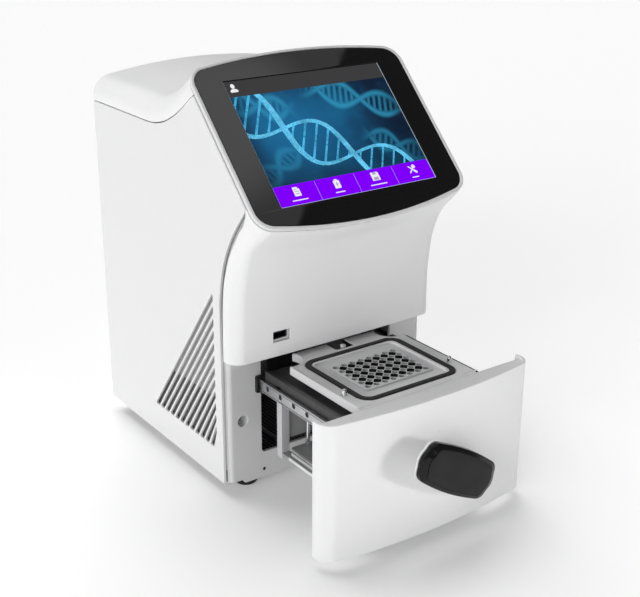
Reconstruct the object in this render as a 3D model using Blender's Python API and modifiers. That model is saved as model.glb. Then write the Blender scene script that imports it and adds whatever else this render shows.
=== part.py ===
"""Bench-top thermal cycler with a sliding sample drawer, a hot lid and a tilted touch display.

All sizes are in millimetres: x to the right, y to the rear, z up, floor at z = 0, centre
plane at x = 0, front edges of the side panels at y = 0. At the end everything is shifted
along y, so that the middle of the footprint lies at the world origin. The drawer stands
open, the hot lid is raised and the handle is turned to its released position.
"""
import bpy
import bmesh
from math import sin, cos, pi, radians, degrees, sqrt, atan2
from mathutils import Matrix, Vector

# ---------------------------------------------------------------------------
# dimensions shared between sections
# ---------------------------------------------------------------------------
MM = 0.001
GAP = 0.3                 # clearance between neighbouring pieces
SIDES = (("l", -1), ("r", 1))

# body
HALF_W = 110.6            # outer half width
DEPTH = 221.2             # side panel depth
PANEL_Z = 12.0            # underside of the body
SEAM_Z = 321.0            # joint between side panels and top cover
SHELL_Z = 24.6            # lower end of the rear panel and trim channels
WALL = 2.8                # moulded shell thickness
HOOD_Z = 134.2            # lower edge of the front hood

# tilted display head; the heights are measured up or down the face from its centre
TILT = radians(45.1)      # face angle from the horizontal
FACE_Y, FACE_Z = -9.2, 321.5
BEZEL_HW, BEZEL_TOP = 109.6, 85.4
BEZEL_BOTTOM, BEZEL_BOTTOM_EDGE = 88.0, 79.0
HEAD_BACK = -3.9          # body shells end this far behind the glass
SEAM_DROP = -54.5         # where the top joint meets the face, down from its centre
HOOD_DROP = 53.6          # where the hood joint meets the face, down from its centre

# drawer, sample block and lid
TRAVEL = 132.0            # y distance from the open drawer's block to the lid
FRAME_Y = (-4.5, -1.5)    # front frame
BLOCK_Y = -82.3
GASKET_Y = -81.3
PIN_X, PIN_Y, PIN_R = 57.0, -106.0, 2.1
LID_Y = BLOCK_Y + TRAVEL
SCREW_R = 4.0
LID_ROD_X, LID_ROD_R = 44.0, 3.0

# handle
HANDLE_Y, HANDLE_Z = -185.0, 74.5
HANDLE_FACE = -189.0
HANDLE_TURN = radians(30.9)

SHIFT_Y = -(DEPTH + HANDLE_FACE) / 2.0

# ---------------------------------------------------------------------------
# scene and materials
# ---------------------------------------------------------------------------
for old in list(bpy.data.objects):
    bpy.data.objects.remove(old, do_unlink=True)

scene = bpy.context.scene
PARTS = bpy.data.collections.new("thermal_cycler")
HELPERS = bpy.data.collections.new("cutters")
scene.collection.children.link(PARTS)
scene.collection.children.link(HELPERS)


def material(name, colour, roughness, metallic=0.0):
    made = bpy.data.materials.new(name)
    made.use_nodes = True
    inputs = made.node_tree.nodes["Principled BSDF"].inputs
    inputs["Base Color"].default_value = (*colour, 1.0)
    inputs["Roughness"].default_value = roughness
    inputs["Metallic"].default_value = metallic
    return made


WHITE = material("white_plastic", (0.86, 0.86, 0.86), roughness=0.38)
GREY = material("grey_plastic", (0.55, 0.55, 0.56), roughness=0.45)
BLACK = material("black_plastic", (0.03, 0.03, 0.032), roughness=0.4)
RUBBER = material("rubber", (0.02, 0.02, 0.02), roughness=0.8)
GLASS = material("black_glass", (0.015, 0.015, 0.017), roughness=0.08)
SCREEN = material("screen", (0.03, 0.2, 0.35), roughness=0.3)
ALU = material("aluminium", (0.75, 0.76, 0.77), roughness=0.35, metallic=1.0)
STEEL = material("steel", (0.6, 0.6, 0.62), roughness=0.35, metallic=1.0)
CHROME = material("chrome", (0.85, 0.85, 0.86), roughness=0.08, metallic=1.0)
COAT = material("coated_sheet", (0.42, 0.43, 0.44), roughness=0.5, metallic=0.3)
BOARD = material("circuit_board", (0.02, 0.18, 0.07), roughness=0.5)
CERAMIC = material("ceramic", (0.85, 0.85, 0.82), roughness=0.5)


# ---------------------------------------------------------------------------
# planes for flat outlines: each takes the distance of the plane along its normal
# ---------------------------------------------------------------------------
# face frame: local x = +x, local y = up the face, local z = out of the face
FACE = Matrix(((1, 0, 0, 0),
               (0, cos(TILT), -sin(TILT), FACE_Y),
               (0, sin(TILT), cos(TILT), FACE_Z),
               (0, 0, 0, 1)))


def across_x(x):
    """Outline points are (y, z)."""
    return Matrix(((0, 0, 1, x), (1, 0, 0, 0), (0, 1, 0, 0), (0, 0, 0, 1)))


def across_y(y):
    """Outline points are (x, z)."""
    return Matrix(((1, 0, 0, 0), (0, 0, -1, y), (0, 1, 0, 0), (0, 0, 0, 1)))


def across_z(z):
    """Outline points are (x, y)."""
    return Matrix.Translation((0, 0, z))


def across_face(out):
    """Outline points are (x, up the face)."""
    return FACE @ Matrix.Translation((0, 0, out))


# ---------------------------------------------------------------------------
# solids; a piece without a material is a hidden boolean helper
# ---------------------------------------------------------------------------
def put(name, shape, mat=None, origin=(0.0, 0.0, 0.0)):
    """New object from a bmesh in millimetres, with the given origin."""
    mesh = bpy.data.meshes.new(name)
    shape.to_mesh(mesh)
    shape.free()
    mesh.transform(Matrix.Translation(-Vector(origin)))
    mesh.transform(Matrix.Scale(MM, 4))
    piece = bpy.data.objects.new(name, mesh)
    piece.location = Vector(origin) * MM
    if mat:
        PARTS.objects.link(piece)
        mesh.materials.append(mat)
    else:
        HELPERS.objects.link(piece)
        piece.hide_render = True
        piece.display_type = 'WIRE'
    return piece


def smooth(piece):
    piece.data.shade_smooth()
    piece.data.set_sharp_from_angle(angle=radians(35.0))
    return piece


def outline(name, loops, span, plane, mat=None, origin=(0.0, 0.0, 0.0)):
    """Flat outline with holes, extruded over the span across the plane."""
    low, high = span
    curve = bpy.data.curves.new(name, 'CURVE')
    curve.dimensions = '2D'
    curve.fill_mode = 'BOTH'
    curve.extrude = (high - low) / 2.0
    for loop in loops:
        spline = curve.splines.new('POLY')
        spline.points.add(len(loop) - 1)
        for point, (x, y) in zip(spline.points, loop):
            point.co = (x, y, 0.0, 1.0)
        spline.use_cyclic_u = True
    drawn = bpy.data.objects.new(name + "_curve", curve)
    scene.collection.objects.link(drawn)
    depsgraph = bpy.context.evaluated_depsgraph_get()
    flat = bpy.data.meshes.new_from_object(drawn.evaluated_get(depsgraph))
    flat.transform(plane((high + low) / 2.0))
    shape = bmesh.new()
    shape.from_mesh(flat)
    bpy.data.objects.remove(drawn, do_unlink=True)
    bpy.data.meshes.remove(flat)
    bmesh.ops.remove_doubles(shape, verts=shape.verts, dist=1e-4)
    bmesh.ops.recalc_face_normals(shape, faces=shape.faces)
    return put(name, shape, mat, origin)


def box(name, x, y, z, mat=None):
    """Box given by its spans along the three axes."""
    size = [high - low for low, high in (x, y, z)]
    middle = [(low + high) / 2 for low, high in (x, y, z)]
    shape = bmesh.new()
    bmesh.ops.create_cube(shape, size=1.0)
    bmesh.ops.scale(shape, vec=size, verts=shape.verts)
    bmesh.ops.translate(shape, vec=middle, verts=shape.verts)
    return put(name, shape, mat)


def cones(name, places, radii, z, segments, mat=None, plane=across_z,
          origin=(0.0, 0.0, 0.0), turn=0.0):
    """Cones over the span z, with bottom and top radii, one at each place (x, y)."""
    low, high = z
    shape = bmesh.new()
    for place in places:
        frame = Matrix.Translation((*place, (low + high) / 2)) @ Matrix.Rotation(turn, 4, 'Z')
        bmesh.ops.create_cone(shape, cap_ends=True, segments=segments, radius1=radii[0],
                              radius2=radii[1], depth=high - low, matrix=frame)
    bmesh.ops.transform(shape, matrix=plane(0.0), verts=shape.verts)
    return put(name, shape, mat, origin)


def rods(name, places, radius, z, segments, mat=None):
    """Upright cylinders."""
    return cones(name, places, (radius, radius), z, segments, mat)


def rod_y(name, x, z, radius, y, segments, origin=(0.0, 0.0, 0.0)):
    """Cylinder helper along y."""
    return cones(name, [(x, z)], (radius, radius), (-y[1], -y[0]), segments,
                 plane=across_y, origin=origin)


def turned(name, profile, segments, mat, origin):
    """Turned piece about the z axis of its origin; profile runs top to bottom as (radius, z)."""
    shape = bmesh.new()
    verts = [shape.verts.new((radius, 0.0, z)) for radius, z in profile]
    for start, end in zip(verts, verts[1:]):
        shape.edges.new((start, end))
    piece = put(name, shape, mat)
    piece.location = Vector(origin) * MM
    screw = piece.modifiers.new("turn", 'SCREW')
    screw.steps = segments
    screw.render_steps = segments
    screw.use_merge_vertices = True
    screw.merge_threshold = 0.00001
    screw.use_smooth_shade = True
    return piece


def rings(name, sections, mat, origin):
    """Closed loft through rings of equal point counts, capped at both ends."""
    shape = bmesh.new()
    rows = [[shape.verts.new(point) for point in ring] for ring in sections]
    count = len(rows[0])
    for row, following in zip(rows, rows[1:]):
        for i in range(count):
            j = (i + 1) % count
            shape.faces.new((row[i], row[j], following[j], following[i]))
    shape.faces.new(rows[0])
    shape.faces.new(list(reversed(rows[-1])))
    bmesh.ops.recalc_face_normals(shape, faces=shape.faces)
    return put(name, shape, mat, origin)


def sheet(name, sections):
    """Open lofted white shell, thickened inwards."""
    shape = bmesh.new()
    rows = [[shape.verts.new(point) for point in section] for section in sections]
    for row, following in zip(rows, rows[1:]):
        for i in range(len(row) - 1):
            shape.faces.new((following[i], following[i + 1], row[i + 1], row[i]))
    piece = put(name, shape, WHITE)
    solidify = piece.modifiers.new("wall", 'SOLIDIFY')
    solidify.thickness = WALL * MM
    solidify.offset = -1.0
    solidify.use_even_offset = True
    return smooth(piece)


def cut(piece, helper, operation='DIFFERENCE'):
    boolean = piece.modifiers.new(operation.lower(), 'BOOLEAN')
    boolean.operation = operation
    boolean.solver = 'EXACT'
    boolean.object = helper
    return piece


def join(piece, helper):
    return cut(piece, helper, 'UNION')


# ---------------------------------------------------------------------------
# spans and point lists
# ---------------------------------------------------------------------------
def around(half, center=0.0):
    return (center - half, center + half)


def sided(side, inner, outer):
    """Span in x on the left (side -1) or right (side 1), from distances to the centre plane."""
    return tuple(sorted((side * inner, side * outer)))


def arc(x, y, radius, start, end, steps):
    """Arc about (x, y) between two angles in degrees."""
    angles = [radians(start + (end - start) * i / steps) for i in range(steps + 1)]
    return [(x + radius * cos(angle), y + radius * sin(angle)) for angle in angles]


def circle(x, y, radius, steps):
    angles = [2 * pi * i / steps for i in range(steps)]
    return [(x + radius * cos(angle), y + radius * sin(angle)) for angle in angles]


def rectangle(half_x, half_y, x, y):
    return [(x - half_x, y - half_y), (x + half_x, y - half_y),
            (x + half_x, y + half_y), (x - half_x, y + half_y)]


def rounded(half_x, half_y, radius, steps, x=0.0, y=0.0):
    """Rectangle with rounded corners about (x, y)."""
    points = []
    for i, (sign_x, sign_y) in enumerate(((1, 1), (-1, 1), (-1, -1), (1, -1))):
        points += arc(x + sign_x * (half_x - radius), y + sign_y * (half_y - radius), radius,
                      90 * i, 90 * (i + 1), steps)
    return points


def mirror(points):
    """The points mirrored in x, in reverse order."""
    return [(-x, y) for x, y in reversed(points)]


def both_halves(half):
    """Whole outline from a half that ends on the centre line."""
    return half + mirror(half[:-1])


def bowed_side(half_w, peak, edge, radius, arc_steps=4, edge_steps=3):
    """Half outline from the side x = half_w round the corner to the middle of a bowed edge.

    The bowed edge is a parabola with height peak at x = 0 and edge at |x| = 0.84 half_w;
    the corner arc touches the side and the parabola."""
    bend = (peak - edge) / (0.84 * half_w) ** 2
    touch = half_w - radius
    for _ in range(40):
        slope = 2 * bend * touch
        length = sqrt(1 + slope * slope)
        normal_x, normal_y = slope / length, 1 / length
        touch = half_w - radius + radius * normal_x
    center_y = peak - bend * touch * touch - radius * normal_y
    end = degrees(atan2(normal_y, normal_x))
    points = arc(half_w - radius, center_y, radius, 0, end, arc_steps)
    for i in range(1, edge_steps + 1):
        x = touch * (1 - i / edge_steps)
        points.append((x, peak - bend * x * x))
    return points


def bowed_outline(half_w, top, top_edge, bottom, bottom_edge, radius):
    """Closed outline with bowed top and bottom edges and rounded corners."""
    upper = both_halves(bowed_side(half_w, top, top_edge, radius))
    lower = both_halves(bowed_side(half_w, bottom, bottom_edge, radius))
    return upper + [(-x, -y) for x, y in lower]


def bowed_u(half_w, start, *side):
    """Open U from x = half_w at height start over the bowed edge to x = -half_w."""
    return both_halves([(half_w, start)] + bowed_side(half_w, *side))


def head_point(drop):
    """Point on the centre plane where a body shell ends behind the face, drop down from its centre."""
    return FACE @ Vector((0, -drop, HEAD_BACK))


def stations(table):
    """Points on the centre plane from rows of (y, z)."""
    return [Vector((0, y, z)) for y, z in table]


# ===========================================================================
# body
# ===========================================================================
# base plate: shallow open pan with slots across its floor
PAN_HW, PAN_Y, PAN_WALL = 106.9, (0.3, 214.6), 1.5
SLOT_COUNT, SLOT_Y, SLOT_PITCH, SLOT_W = 6, 40.0, 14.0, 6.0
base = box("base_plate", around(PAN_HW), PAN_Y, (PANEL_Z, 24.0), STEEL)
cut(base, box("base_pan_cut", around(PAN_HW - PAN_WALL),
              (PAN_Y[0] + PAN_WALL, PAN_Y[1] - PAN_WALL), (PANEL_Z + PAN_WALL, 30.0)))
for i in range(SLOT_COUNT):
    y = SLOT_Y + SLOT_PITCH * i
    cut(base, box("base_vent_cut_%d" % i, around(60.0), (y, y + SLOT_W), (5.0, 20.0)))

# feet
FOOT_R, FOOT_H = 11.0, PANEL_Z - GAP
FOOT_X, FOOT_FRONT_Y, FOOT_REAR_Y = 80.0, 12.0, 200.0
FOOT_PROFILE = [(0.0, FOOT_H), (FOOT_R, FOOT_H), (FOOT_R, 3.0), (FOOT_R - 2.0, 0.0), (0.0, 0.0)]
for row, y in (("f", FOOT_FRONT_Y), ("r", FOOT_REAR_Y)):
    for tag, side in SIDES:
        turned("foot_" + row + tag, FOOT_PROFILE, 16, RUBBER, (side * FOOT_X, y, 0.0))

# side panels: front edge from the bottom up to the head, then the joint with the top cover,
# all as (y, z)
PANEL_FRONT = [(0.0, 165.5), (-0.5, 186.6), (-2.8, 201.8), (-6.4, 217.2), (-12.6, 233.1),
               (-21.3, 248.4), (-30.7, 261.7), (-42.3, 275.7)]
SEAM = [(39.3, 352.9), (50.5, 344.1), (62.0, 336.7), (73.0, 330.8), (85.0, 325.8),
        (99.0, 322.3), (111.0, SEAM_Z), (144.0, SEAM_Z), (182.0, SEAM_Z), (DEPTH, SEAM_Z)]
VENT_COUNT = 12
VENT_Y, VENT_TOP, VENT_PITCH_Z, VENT_HEIGHT = 10.6, 192.9, 11.45, 7.6       # front ends
VENT_Z, VENT_REAR, VENT_PITCH_Y, VENT_LENGTH = 42.8, 124.7, 9.28, 6.6       # lower ends


def panel_outline():
    low = head_point(HOOD_DROP - 0.3)
    high = head_point(SEAM_DROP + 0.4)
    return ([(0.0, PANEL_Z)] + PANEL_FRONT + [(low.y, low.z), (high.y, high.z)]
            + [(y, z - 0.4) for y, z in SEAM] + [(DEPTH, PANEL_Z)])


def vents():
    """Slanted slots between a vertical front line and a horizontal lower line."""
    slots = []
    for i in range(VENT_COUNT):
        z = VENT_TOP - VENT_PITCH_Z * i
        y = VENT_REAR - VENT_PITCH_Y * i
        slots.append([(VENT_Y, z), (VENT_Y, z - VENT_HEIGHT), (y - VENT_LENGTH, VENT_Z),
                      (y, VENT_Z)])
    return slots


# trim channels in the shadow gap between side panels and hood: rear edge going up, front
# edge coming down, as (y, z)
GROOVE_REAR = [(3.5, SHELL_Z), (3.5, 165.0), (2.8, 187.5), (0.6, 203.0), (-3.0, 218.6),
               (-9.2, 234.8), (-17.6, 250.2), (-27.0, 263.5), (-35.5, 273.6)]
GROOVE_FRONT = [(-40.0, 271.0), (-32.5, 261.5), (-23.5, 248.5), (-15.5, 234.5), (-9.6, 219.5),
                (-5.4, 203.8), (-3.2, 188.5), (-1.2, 174.0), (-1.2, SHELL_Z)]
for tag, side in SIDES:
    outline("side_panel_" + tag, [panel_outline()] + vents(),
            sided(side, HALF_W - WALL, HALF_W), across_x, WHITE)
    outline("trim_channel_" + tag, [GROOVE_REAR + GROOVE_FRONT],
            sided(side, 104.2, 106.7), across_x, GREY)

# top cover: one crown profile carried along the joint and leaned forward to the face
CROWN_H, CROWN_BOW, CROWN_R = 30.6, 7.6, 19.0
CREST = [(58.4, 375.6), (68.5, 368.3), (79.0, 362.0), (90.0, 357.2), (101.5, 353.6),
         (113.0, 351.8), (123.0, 351.5), (150.0, 351.6), (185.0, 351.6), (DEPTH, 351.6)]  # (y, z)


def crown_profile(half_w):
    return bowed_u(half_w, 0.4, CROWN_H, CROWN_H - CROWN_BOW, CROWN_R)


def top_sections():
    joints = [head_point(SEAM_DROP)] + stations(SEAM)
    crests = [head_point(-BEZEL_TOP)] + stations(CREST)
    sections = []
    for k, (joint, crest) in enumerate(zip(joints, crests)):
        up = (crest - joint) / CROWN_H
        # widens from the bezel to the body over the first three stations
        half_w = BEZEL_HW + (HALF_W - BEZEL_HW) * min(1.0, k / 3.0)
        sections.append([Vector((x, 0, 0)) + joint + up * height
                         for x, height in crown_profile(half_w)])
    return sections


sheet("top_cover", top_sections())

# front hood: U sections from the drawer opening up to the face; rear edges and front
# middles, both as (y, z)
HOOD_EDGE = [(-5.0, HOOD_Z), (-5.0, 150.0), (-5.2, 160.0), (-6.0, 182.0), (-8.4, 203.6),
             (-12.0, 216.5), (-17.5, 230.8), (-24.6, 243.2), (-33.4, 256.8), (-41.4, 267.8)]
HOOD_FRONT = [(-22.6, HOOD_Z), (-22.3, 150.0), (-22.8, 165.0), (-24.6, 185.0), (-28.2, 205.0),
              (-32.3, 218.0), (-38.0, 229.5), (-45.0, 238.8), (-55.2, 246.8), (-64.6, 253.4)]
HOOD_BOW = 1.3            # bow of the lowest section


def hood_sections():
    rears = stations(HOOD_EDGE) + [head_point(HOOD_DROP + 0.3)]
    fronts = stations(HOOD_FRONT) + [head_point(BEZEL_BOTTOM)]
    sections = []
    for k, (rear, front) in enumerate(zip(rears, fronts)):
        rise = k / len(HOOD_FRONT)
        reach = (front - rear).length
        bow = HOOD_BOW + (BEZEL_BOTTOM - BEZEL_BOTTOM_EDGE - HOOD_BOW) * rise ** 1.5
        radius = min(14.0 + 4.0 * rise, reach - bow - 0.6)
        half_w = HALF_W + (BEZEL_HW - HALF_W) * rise ** 3
        forward = (front - rear) / reach
        sections.append([Vector((x, 0, 0)) + rear + forward * distance
                         for x, distance in bowed_u(half_w, 0.0, reach, reach - bow, radius)])
    return sections


hood = sheet("front_hood", hood_sections())
cut(hood, box("usb_window_cut", x=(-71.0, -53.5), y=(-30.0, -12.0), z=(148.0, 158.0)))

# USB port, open to the front
usb = box("usb_port", x=(-69.4, -55.2), y=(-19.0, -6.0), z=(149.6, 156.4), mat=STEEL)
cut(usb, box("usb_mouth_cut", x=(-68.6, -56.0), y=(-25.0, -9.0), z=(150.4, 155.6)))

# front frame behind hood and drawer, with a notched opening and two pairs of round holes
FRAME_POINTS = [(-106.5, 12.0), (-91.0, 12.0), (-91.0, 8.3), (91.0, 8.3), (91.0, 12.0),
                (106.5, 12.0), (106.5, 170.0), (-106.5, 170.0)]       # (x, z)
OPEN_HW, OPEN_Z, OPEN_R = 72.5, (34.0, 160.0), 4.0
NOTCH_HW, NOTCH_Z = 77.5, (97.3, 110.6)
open_half = arc(OPEN_HW - OPEN_R, OPEN_Z[0] + OPEN_R, OPEN_R, 270, 360, 3) + [
    (OPEN_HW, NOTCH_Z[0]), (NOTCH_HW, NOTCH_Z[0]), (NOTCH_HW, NOTCH_Z[1]),
    (OPEN_HW, NOTCH_Z[1]), (OPEN_HW, OPEN_Z[1])]
outline("front_frame",
        [FRAME_POINTS, open_half + mirror(open_half),
         circle(-92.0, 71.3, 5.25, 16), circle(92.0, 71.3, 5.25, 16),
         circle(-70.0, 16.5, 1.7, 10), circle(70.0, 16.5, 1.7, 10)],
        FRAME_Y, across_y, GREY)

# rear panel with a stamped fan grille and windows for power inlet and switch
REAR_HW = 107.2
FAN_X, FAN_Z, FAN_HALF = 28.0, 112.0, 40.0
GRILLE_RADII = ((8.0, 13.5), (17.5, 23.0), (27.0, 32.5))
INLET_X, ROCKER_X, INLET_Z = -62.0, -30.0, 52.0
INLET_HALF, ROCKER_WINDOW_HALF, WINDOW_HALF_Z = 14.0, 7.5, 10.5


def ring_windows(x, z, inner, outer, margin, inner_steps, outer_steps):
    """Four ring segments, each a quarter turn less the margin in degrees at both ends."""
    windows = []
    for quarter in range(4):
        start, end = 90 * quarter + margin, 90 * quarter + 90.0 - margin
        windows.append(arc(x, z, outer, start, end, outer_steps)
                       + arc(x, z, inner, end, start, inner_steps))
    return windows


rear_crown = [(x * 0.970, SEAM_Z + z - 3.6) for x, z in crown_profile(HALF_W)][1:-1]
rear_loops = [[(-REAR_HW, SHELL_Z), (REAR_HW, SHELL_Z), (REAR_HW, SEAM_Z)]
              + rear_crown + [(-REAR_HW, SEAM_Z)]]
for inner, outer in GRILLE_RADII:
    rear_loops += ring_windows(FAN_X, FAN_Z, inner, outer, 8.0, 5, 5)
rear_loops += [rectangle(INLET_HALF, WINDOW_HALF_Z, INLET_X, INLET_Z),
               rectangle(ROCKER_WINDOW_HALF, WINDOW_HALF_Z, ROCKER_X, INLET_Z)]
outline("rear_panel", rear_loops, (215.2, 217.2), across_y, COAT)

# power inlet, a block hollowed from the rear
INLET_FIT, INLET_WALL = 0.4, 2.0
inlet_hw, inlet_hz = INLET_HALF - INLET_FIT, WINDOW_HALF_Z - INLET_FIT
inlet = box("power_inlet", around(inlet_hw, INLET_X), (196.0, 219.6),
            around(inlet_hz, INLET_Z), BLACK)
cut(inlet, box("inlet_mouth_cut", around(inlet_hw - INLET_WALL, INLET_X), (203.0, 225.0),
               around(inlet_hz - INLET_WALL, INLET_Z)))

# rocker switch on a hinge along x; side view as (y, z above the hinge)
ROCKER_Y = 213.5
ROCKER_SIDE = [(205.0, -5.0), (216.6, -8.4), (218.8, -8.4), (217.8, 0.0), (220.2, 8.4),
               (216.6, 8.4), (205.0, 5.0)]
outline("power_switch_rocker", [[(y, INLET_Z + z) for y, z in ROCKER_SIDE]],
        around(6.0, ROCKER_X), across_x, BLACK, origin=(ROCKER_X, ROCKER_Y, INLET_Z))


# fans, turning about y
def fan_frame(name, x, z, half, y, segments):
    """Square ring with a spider of hub and four arms near its rear."""
    bore = half - 2.2
    ring = outline(name, [rounded(half, half, 4.0, 2, x, z), circle(x, z, bore, segments)],
                   y, across_y, BLACK)
    windows = ring_windows(x, z, half * 0.42, bore - 0.8, 7.0, 3, 4)
    spider = outline(name + "_spider", [circle(x, z, bore + 1.0, segments)] + windows,
                     (y[1] - 3.0, y[1] - 0.5), across_y)
    return join(ring, spider)


def fan_rotor(name, x, z, tip, y):
    """Hub with seven twisted blades."""
    blades, layers = 7, 3
    pitch = 2 * pi / blades
    hub = tip * 0.40
    root = hub * 1.02
    # radius, angle as a share of the blade pitch
    blade = ((hub, 0.0), (root, 0.05), (tip, 0.02), (tip, 0.12), (root, 0.30), (hub, 0.36))
    sections = []
    for layer in range(layers + 1):
        share = layer / layers
        ring = []
        for i in range(blades):
            start = pitch * i + radians(30.0) * share
            for radius, lead in blade:
                angle = start + lead * pitch
                ring.append(Vector((x + radius * cos(angle), y[0] + (y[1] - y[0]) * share,
                                    z + radius * sin(angle))))
        sections.append(ring)
    return rings(name, sections, BLACK, origin=(x, (y[0] + y[1]) / 2, z))


fan_frame("exhaust_fan_frame", FAN_X, FAN_Z, FAN_HALF, (190.0, 214.6), 20)
fan_rotor("exhaust_fan_rotor", FAN_X, FAN_Z, 36.0, (192.0, 208.0))

# display head: half width, top at middle and edge, bottom at middle and edge, corner radius
BEZEL = (BEZEL_HW, BEZEL_TOP, 78.0, BEZEL_BOTTOM, BEZEL_BOTTOM_EDGE, 18.0)
GLASS_OPENING = (105.5, 82.5, 75.5, 85.4, 76.0, 15.0)
glass_size = [size - GAP for size in GLASS_OPENING]
outline("head_bezel", [bowed_outline(*BEZEL), bowed_outline(*GLASS_OPENING)],
        (-3.0, 0.5), across_face, GREY)
outline("touch_glass", [bowed_outline(*glass_size)], (-2.8, 0.0), across_face, GLASS)
outline("display_module", [rounded(88.0, 69.0, 3.0, 2, y=1.0)], (-9.0, -3.2), across_face,
        SCREEN)
outline("display_bracket", [rounded(98.0, 60.0, 4.0, 2), rounded(60.0, 35.0, 4.0, 2)],
        (-11.0, -9.4), across_face, STEEL)

# inner chassis: inverted U around the slides and the hot lid
CHASSIS_HW, CHASSIS_WALL, CHASSIS_Z, CHASSIS_TOP = 90.0, 2.0, 13.9, 180.0
chassis_in, roof_z = CHASSIS_HW - CHASSIS_WALL, CHASSIS_TOP - CHASSIS_WALL
chassis_points = [(-CHASSIS_HW, CHASSIS_Z), (-chassis_in, CHASSIS_Z), (-chassis_in, roof_z),
                  (chassis_in, roof_z), (chassis_in, CHASSIS_Z), (CHASSIS_HW, CHASSIS_Z),
                  (CHASSIS_HW, CHASSIS_TOP), (-CHASSIS_HW, CHASSIS_TOP)]
chassis = outline("inner_chassis", [chassis_points], (8.0, 180.0), across_y, STEEL)
cut(chassis, rods("screw_hole_cut", [(0.0, LID_Y)], SCREW_R + 0.8, (170.0, 190.0), 16))

# telescopic slides: fixed, middle and drawer members
RAIL_HOLES_Y = (-19.4, -39.3, -59.5, -79.3, -110.4, 0.6, 20.6)
RAIL_HOLE_Z, RAIL_HOLE_R = 104.6, 2.4
rail_holes = [circle(y, RAIL_HOLE_Z, RAIL_HOLE_R, 10) for y in RAIL_HOLES_Y]
for tag, side in SIDES:
    fixed = box("slide_fixed_" + tag, x=sided(side, 78.6, 87.6), y=(4.0, 205.0),
                z=(96.0, 111.8), mat=STEEL)
    cut(fixed, box("slide_fixed_cut_" + tag, x=sided(side, 77.0, 84.6), y=(0.0, 210.0),
                   z=(97.6, 110.2)))
    box("slide_mid_" + tag, x=sided(side, 77.0, 84.0), y=(6.0, 136.0), z=(99.4, 108.4),
        mat=ALU)
    rail = box("drawer_rail_" + tag, x=sided(side, 72.9, 76.4), y=(-152.6, 42.0),
               z=(98.2, 109.2), mat=ALU)
    cut(rail, outline("rail_holes_cut_" + tag, rail_holes, sided(side, 70.0, 80.0), across_x))

# hot lid: guide rods, motor, screw, carriage, heater plate
MOTOR_HALF = 17.5
PLATE_Z = (143.8, 152.1)
CARRIAGE_Z = (PLATE_Z[1] + GAP, 161.4)
plate_y = GASKET_Y + TRAVEL
for tag, side in SIDES:
    smooth(rods("lid_guide_rod_" + tag, [(side * LID_ROD_X, LID_Y)], LID_ROD_R,
                (146.2, 177.7), 12, CHROME))
motor = box("lid_motor", around(MOTOR_HALF), around(MOTOR_HALF, LID_Y), (180.4, 206.0), BLACK)
cut(motor, rods("motor_bore_cut", [(0.0, LID_Y)], SCREW_R + 0.6, (170.0, 195.0), 16))
turned("lid_screw", [(0.0, 194.5), (SCREW_R, 194.5), (SCREW_R, 146.6), (0.0, 146.6)],
       12, STEEL, (0.0, LID_Y, 0.0))
outline("lid_carriage",
        [rounded(58.0, 30.0, 5.0, 2, y=LID_Y),
         circle(0.0, LID_Y, SCREW_R + 0.5, 14),
         circle(-LID_ROD_X, LID_Y, LID_ROD_R + 0.4, 12),
         circle(LID_ROD_X, LID_Y, LID_ROD_R + 0.4, 12)],
        CARRIAGE_Z, across_z, ALU)
outline("lid_heater_plate",
        [rounded(63.0, 47.0, 8.0, 3, y=plate_y),
         circle(-PIN_X, PIN_Y + TRAVEL, PIN_R + 0.7, 10),
         circle(PIN_X, PIN_Y + TRAVEL, PIN_R + 0.7, 10),
         circle(0.0, LID_Y, SCREW_R + 0.9, 12),
         circle(-LID_ROD_X, LID_Y, LID_ROD_R + 0.8, 12),
         circle(LID_ROD_X, LID_Y, LID_ROD_R + 0.8, 12)],
        PLATE_Z, across_z, ALU)

# latch keeper on the lower bar of the front frame; side view as (y, z)
KEEPER_Y = FRAME_Y[0] - GAP
KEEPER = [(KEEPER_Y, 22.0), (KEEPER_Y, 31.0), (-6.6, 31.0), (-6.6, 24.0), (-20.2, 24.0),
          (-20.2, 39.0), (-22.6, 39.0), (-22.6, 22.0)]
outline("latch_keeper", [KEEPER], around(6.0), across_x, STEEL)

# power supply, and main board with three raised blocks
BOARD_TOP = 217.6
BOARD_BLOCKS = (((-60, -20), (100, 140), 12.0),       # x span, y span, height
                ((10, 50), (90, 120), 8.0),
                ((-10, 60), (160, 190), 16.0))
box("power_supply", x=(-84.0, 20.0), y=(128.0, 186.0), z=(14.4, 56.0), mat=COAT)
board = box("main_board", around(80.0), (70.0, 204.0), (216.0, BOARD_TOP), BOARD)
for i, (x, y, height) in enumerate(BOARD_BLOCKS):
    join(board, box("board_block_%d" % i, x, y, (BOARD_TOP - 0.8, BOARD_TOP + height)))

# ===========================================================================
# drawer
# ===========================================================================
DRAWER_HW, DRAWER_Z = 110.2, (9.1, 132.6)
DRAWER_REAR, DRAWER_FRONT = -135.1, -161.6
DRAWER_BOW, DRAWER_R, DRAWER_WALL = 7.7, 14.0, 3.2
SHELF_Y, SHELF_Z = -141.4, 131.6
FLOOR_HW = 63.1           # half width of floor and bulkhead
DECK_Z = (112.6, 115.3)
SEAT_Z = DECK_Z[1] + 0.4  # underside of the pieces that rest on the deck


def drawer_u(inset, rear):
    """Plan outline (x, y) of the drawer front: sides, corners and bowed front, inset."""
    reach = rear - (DRAWER_FRONT + inset)
    points = bowed_u(DRAWER_HW - inset, 0.0, reach, reach - DRAWER_BOW * 0.92,
                     DRAWER_R - inset, 5, 4)
    return [(x, rear - y) for x, y in points]


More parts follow.
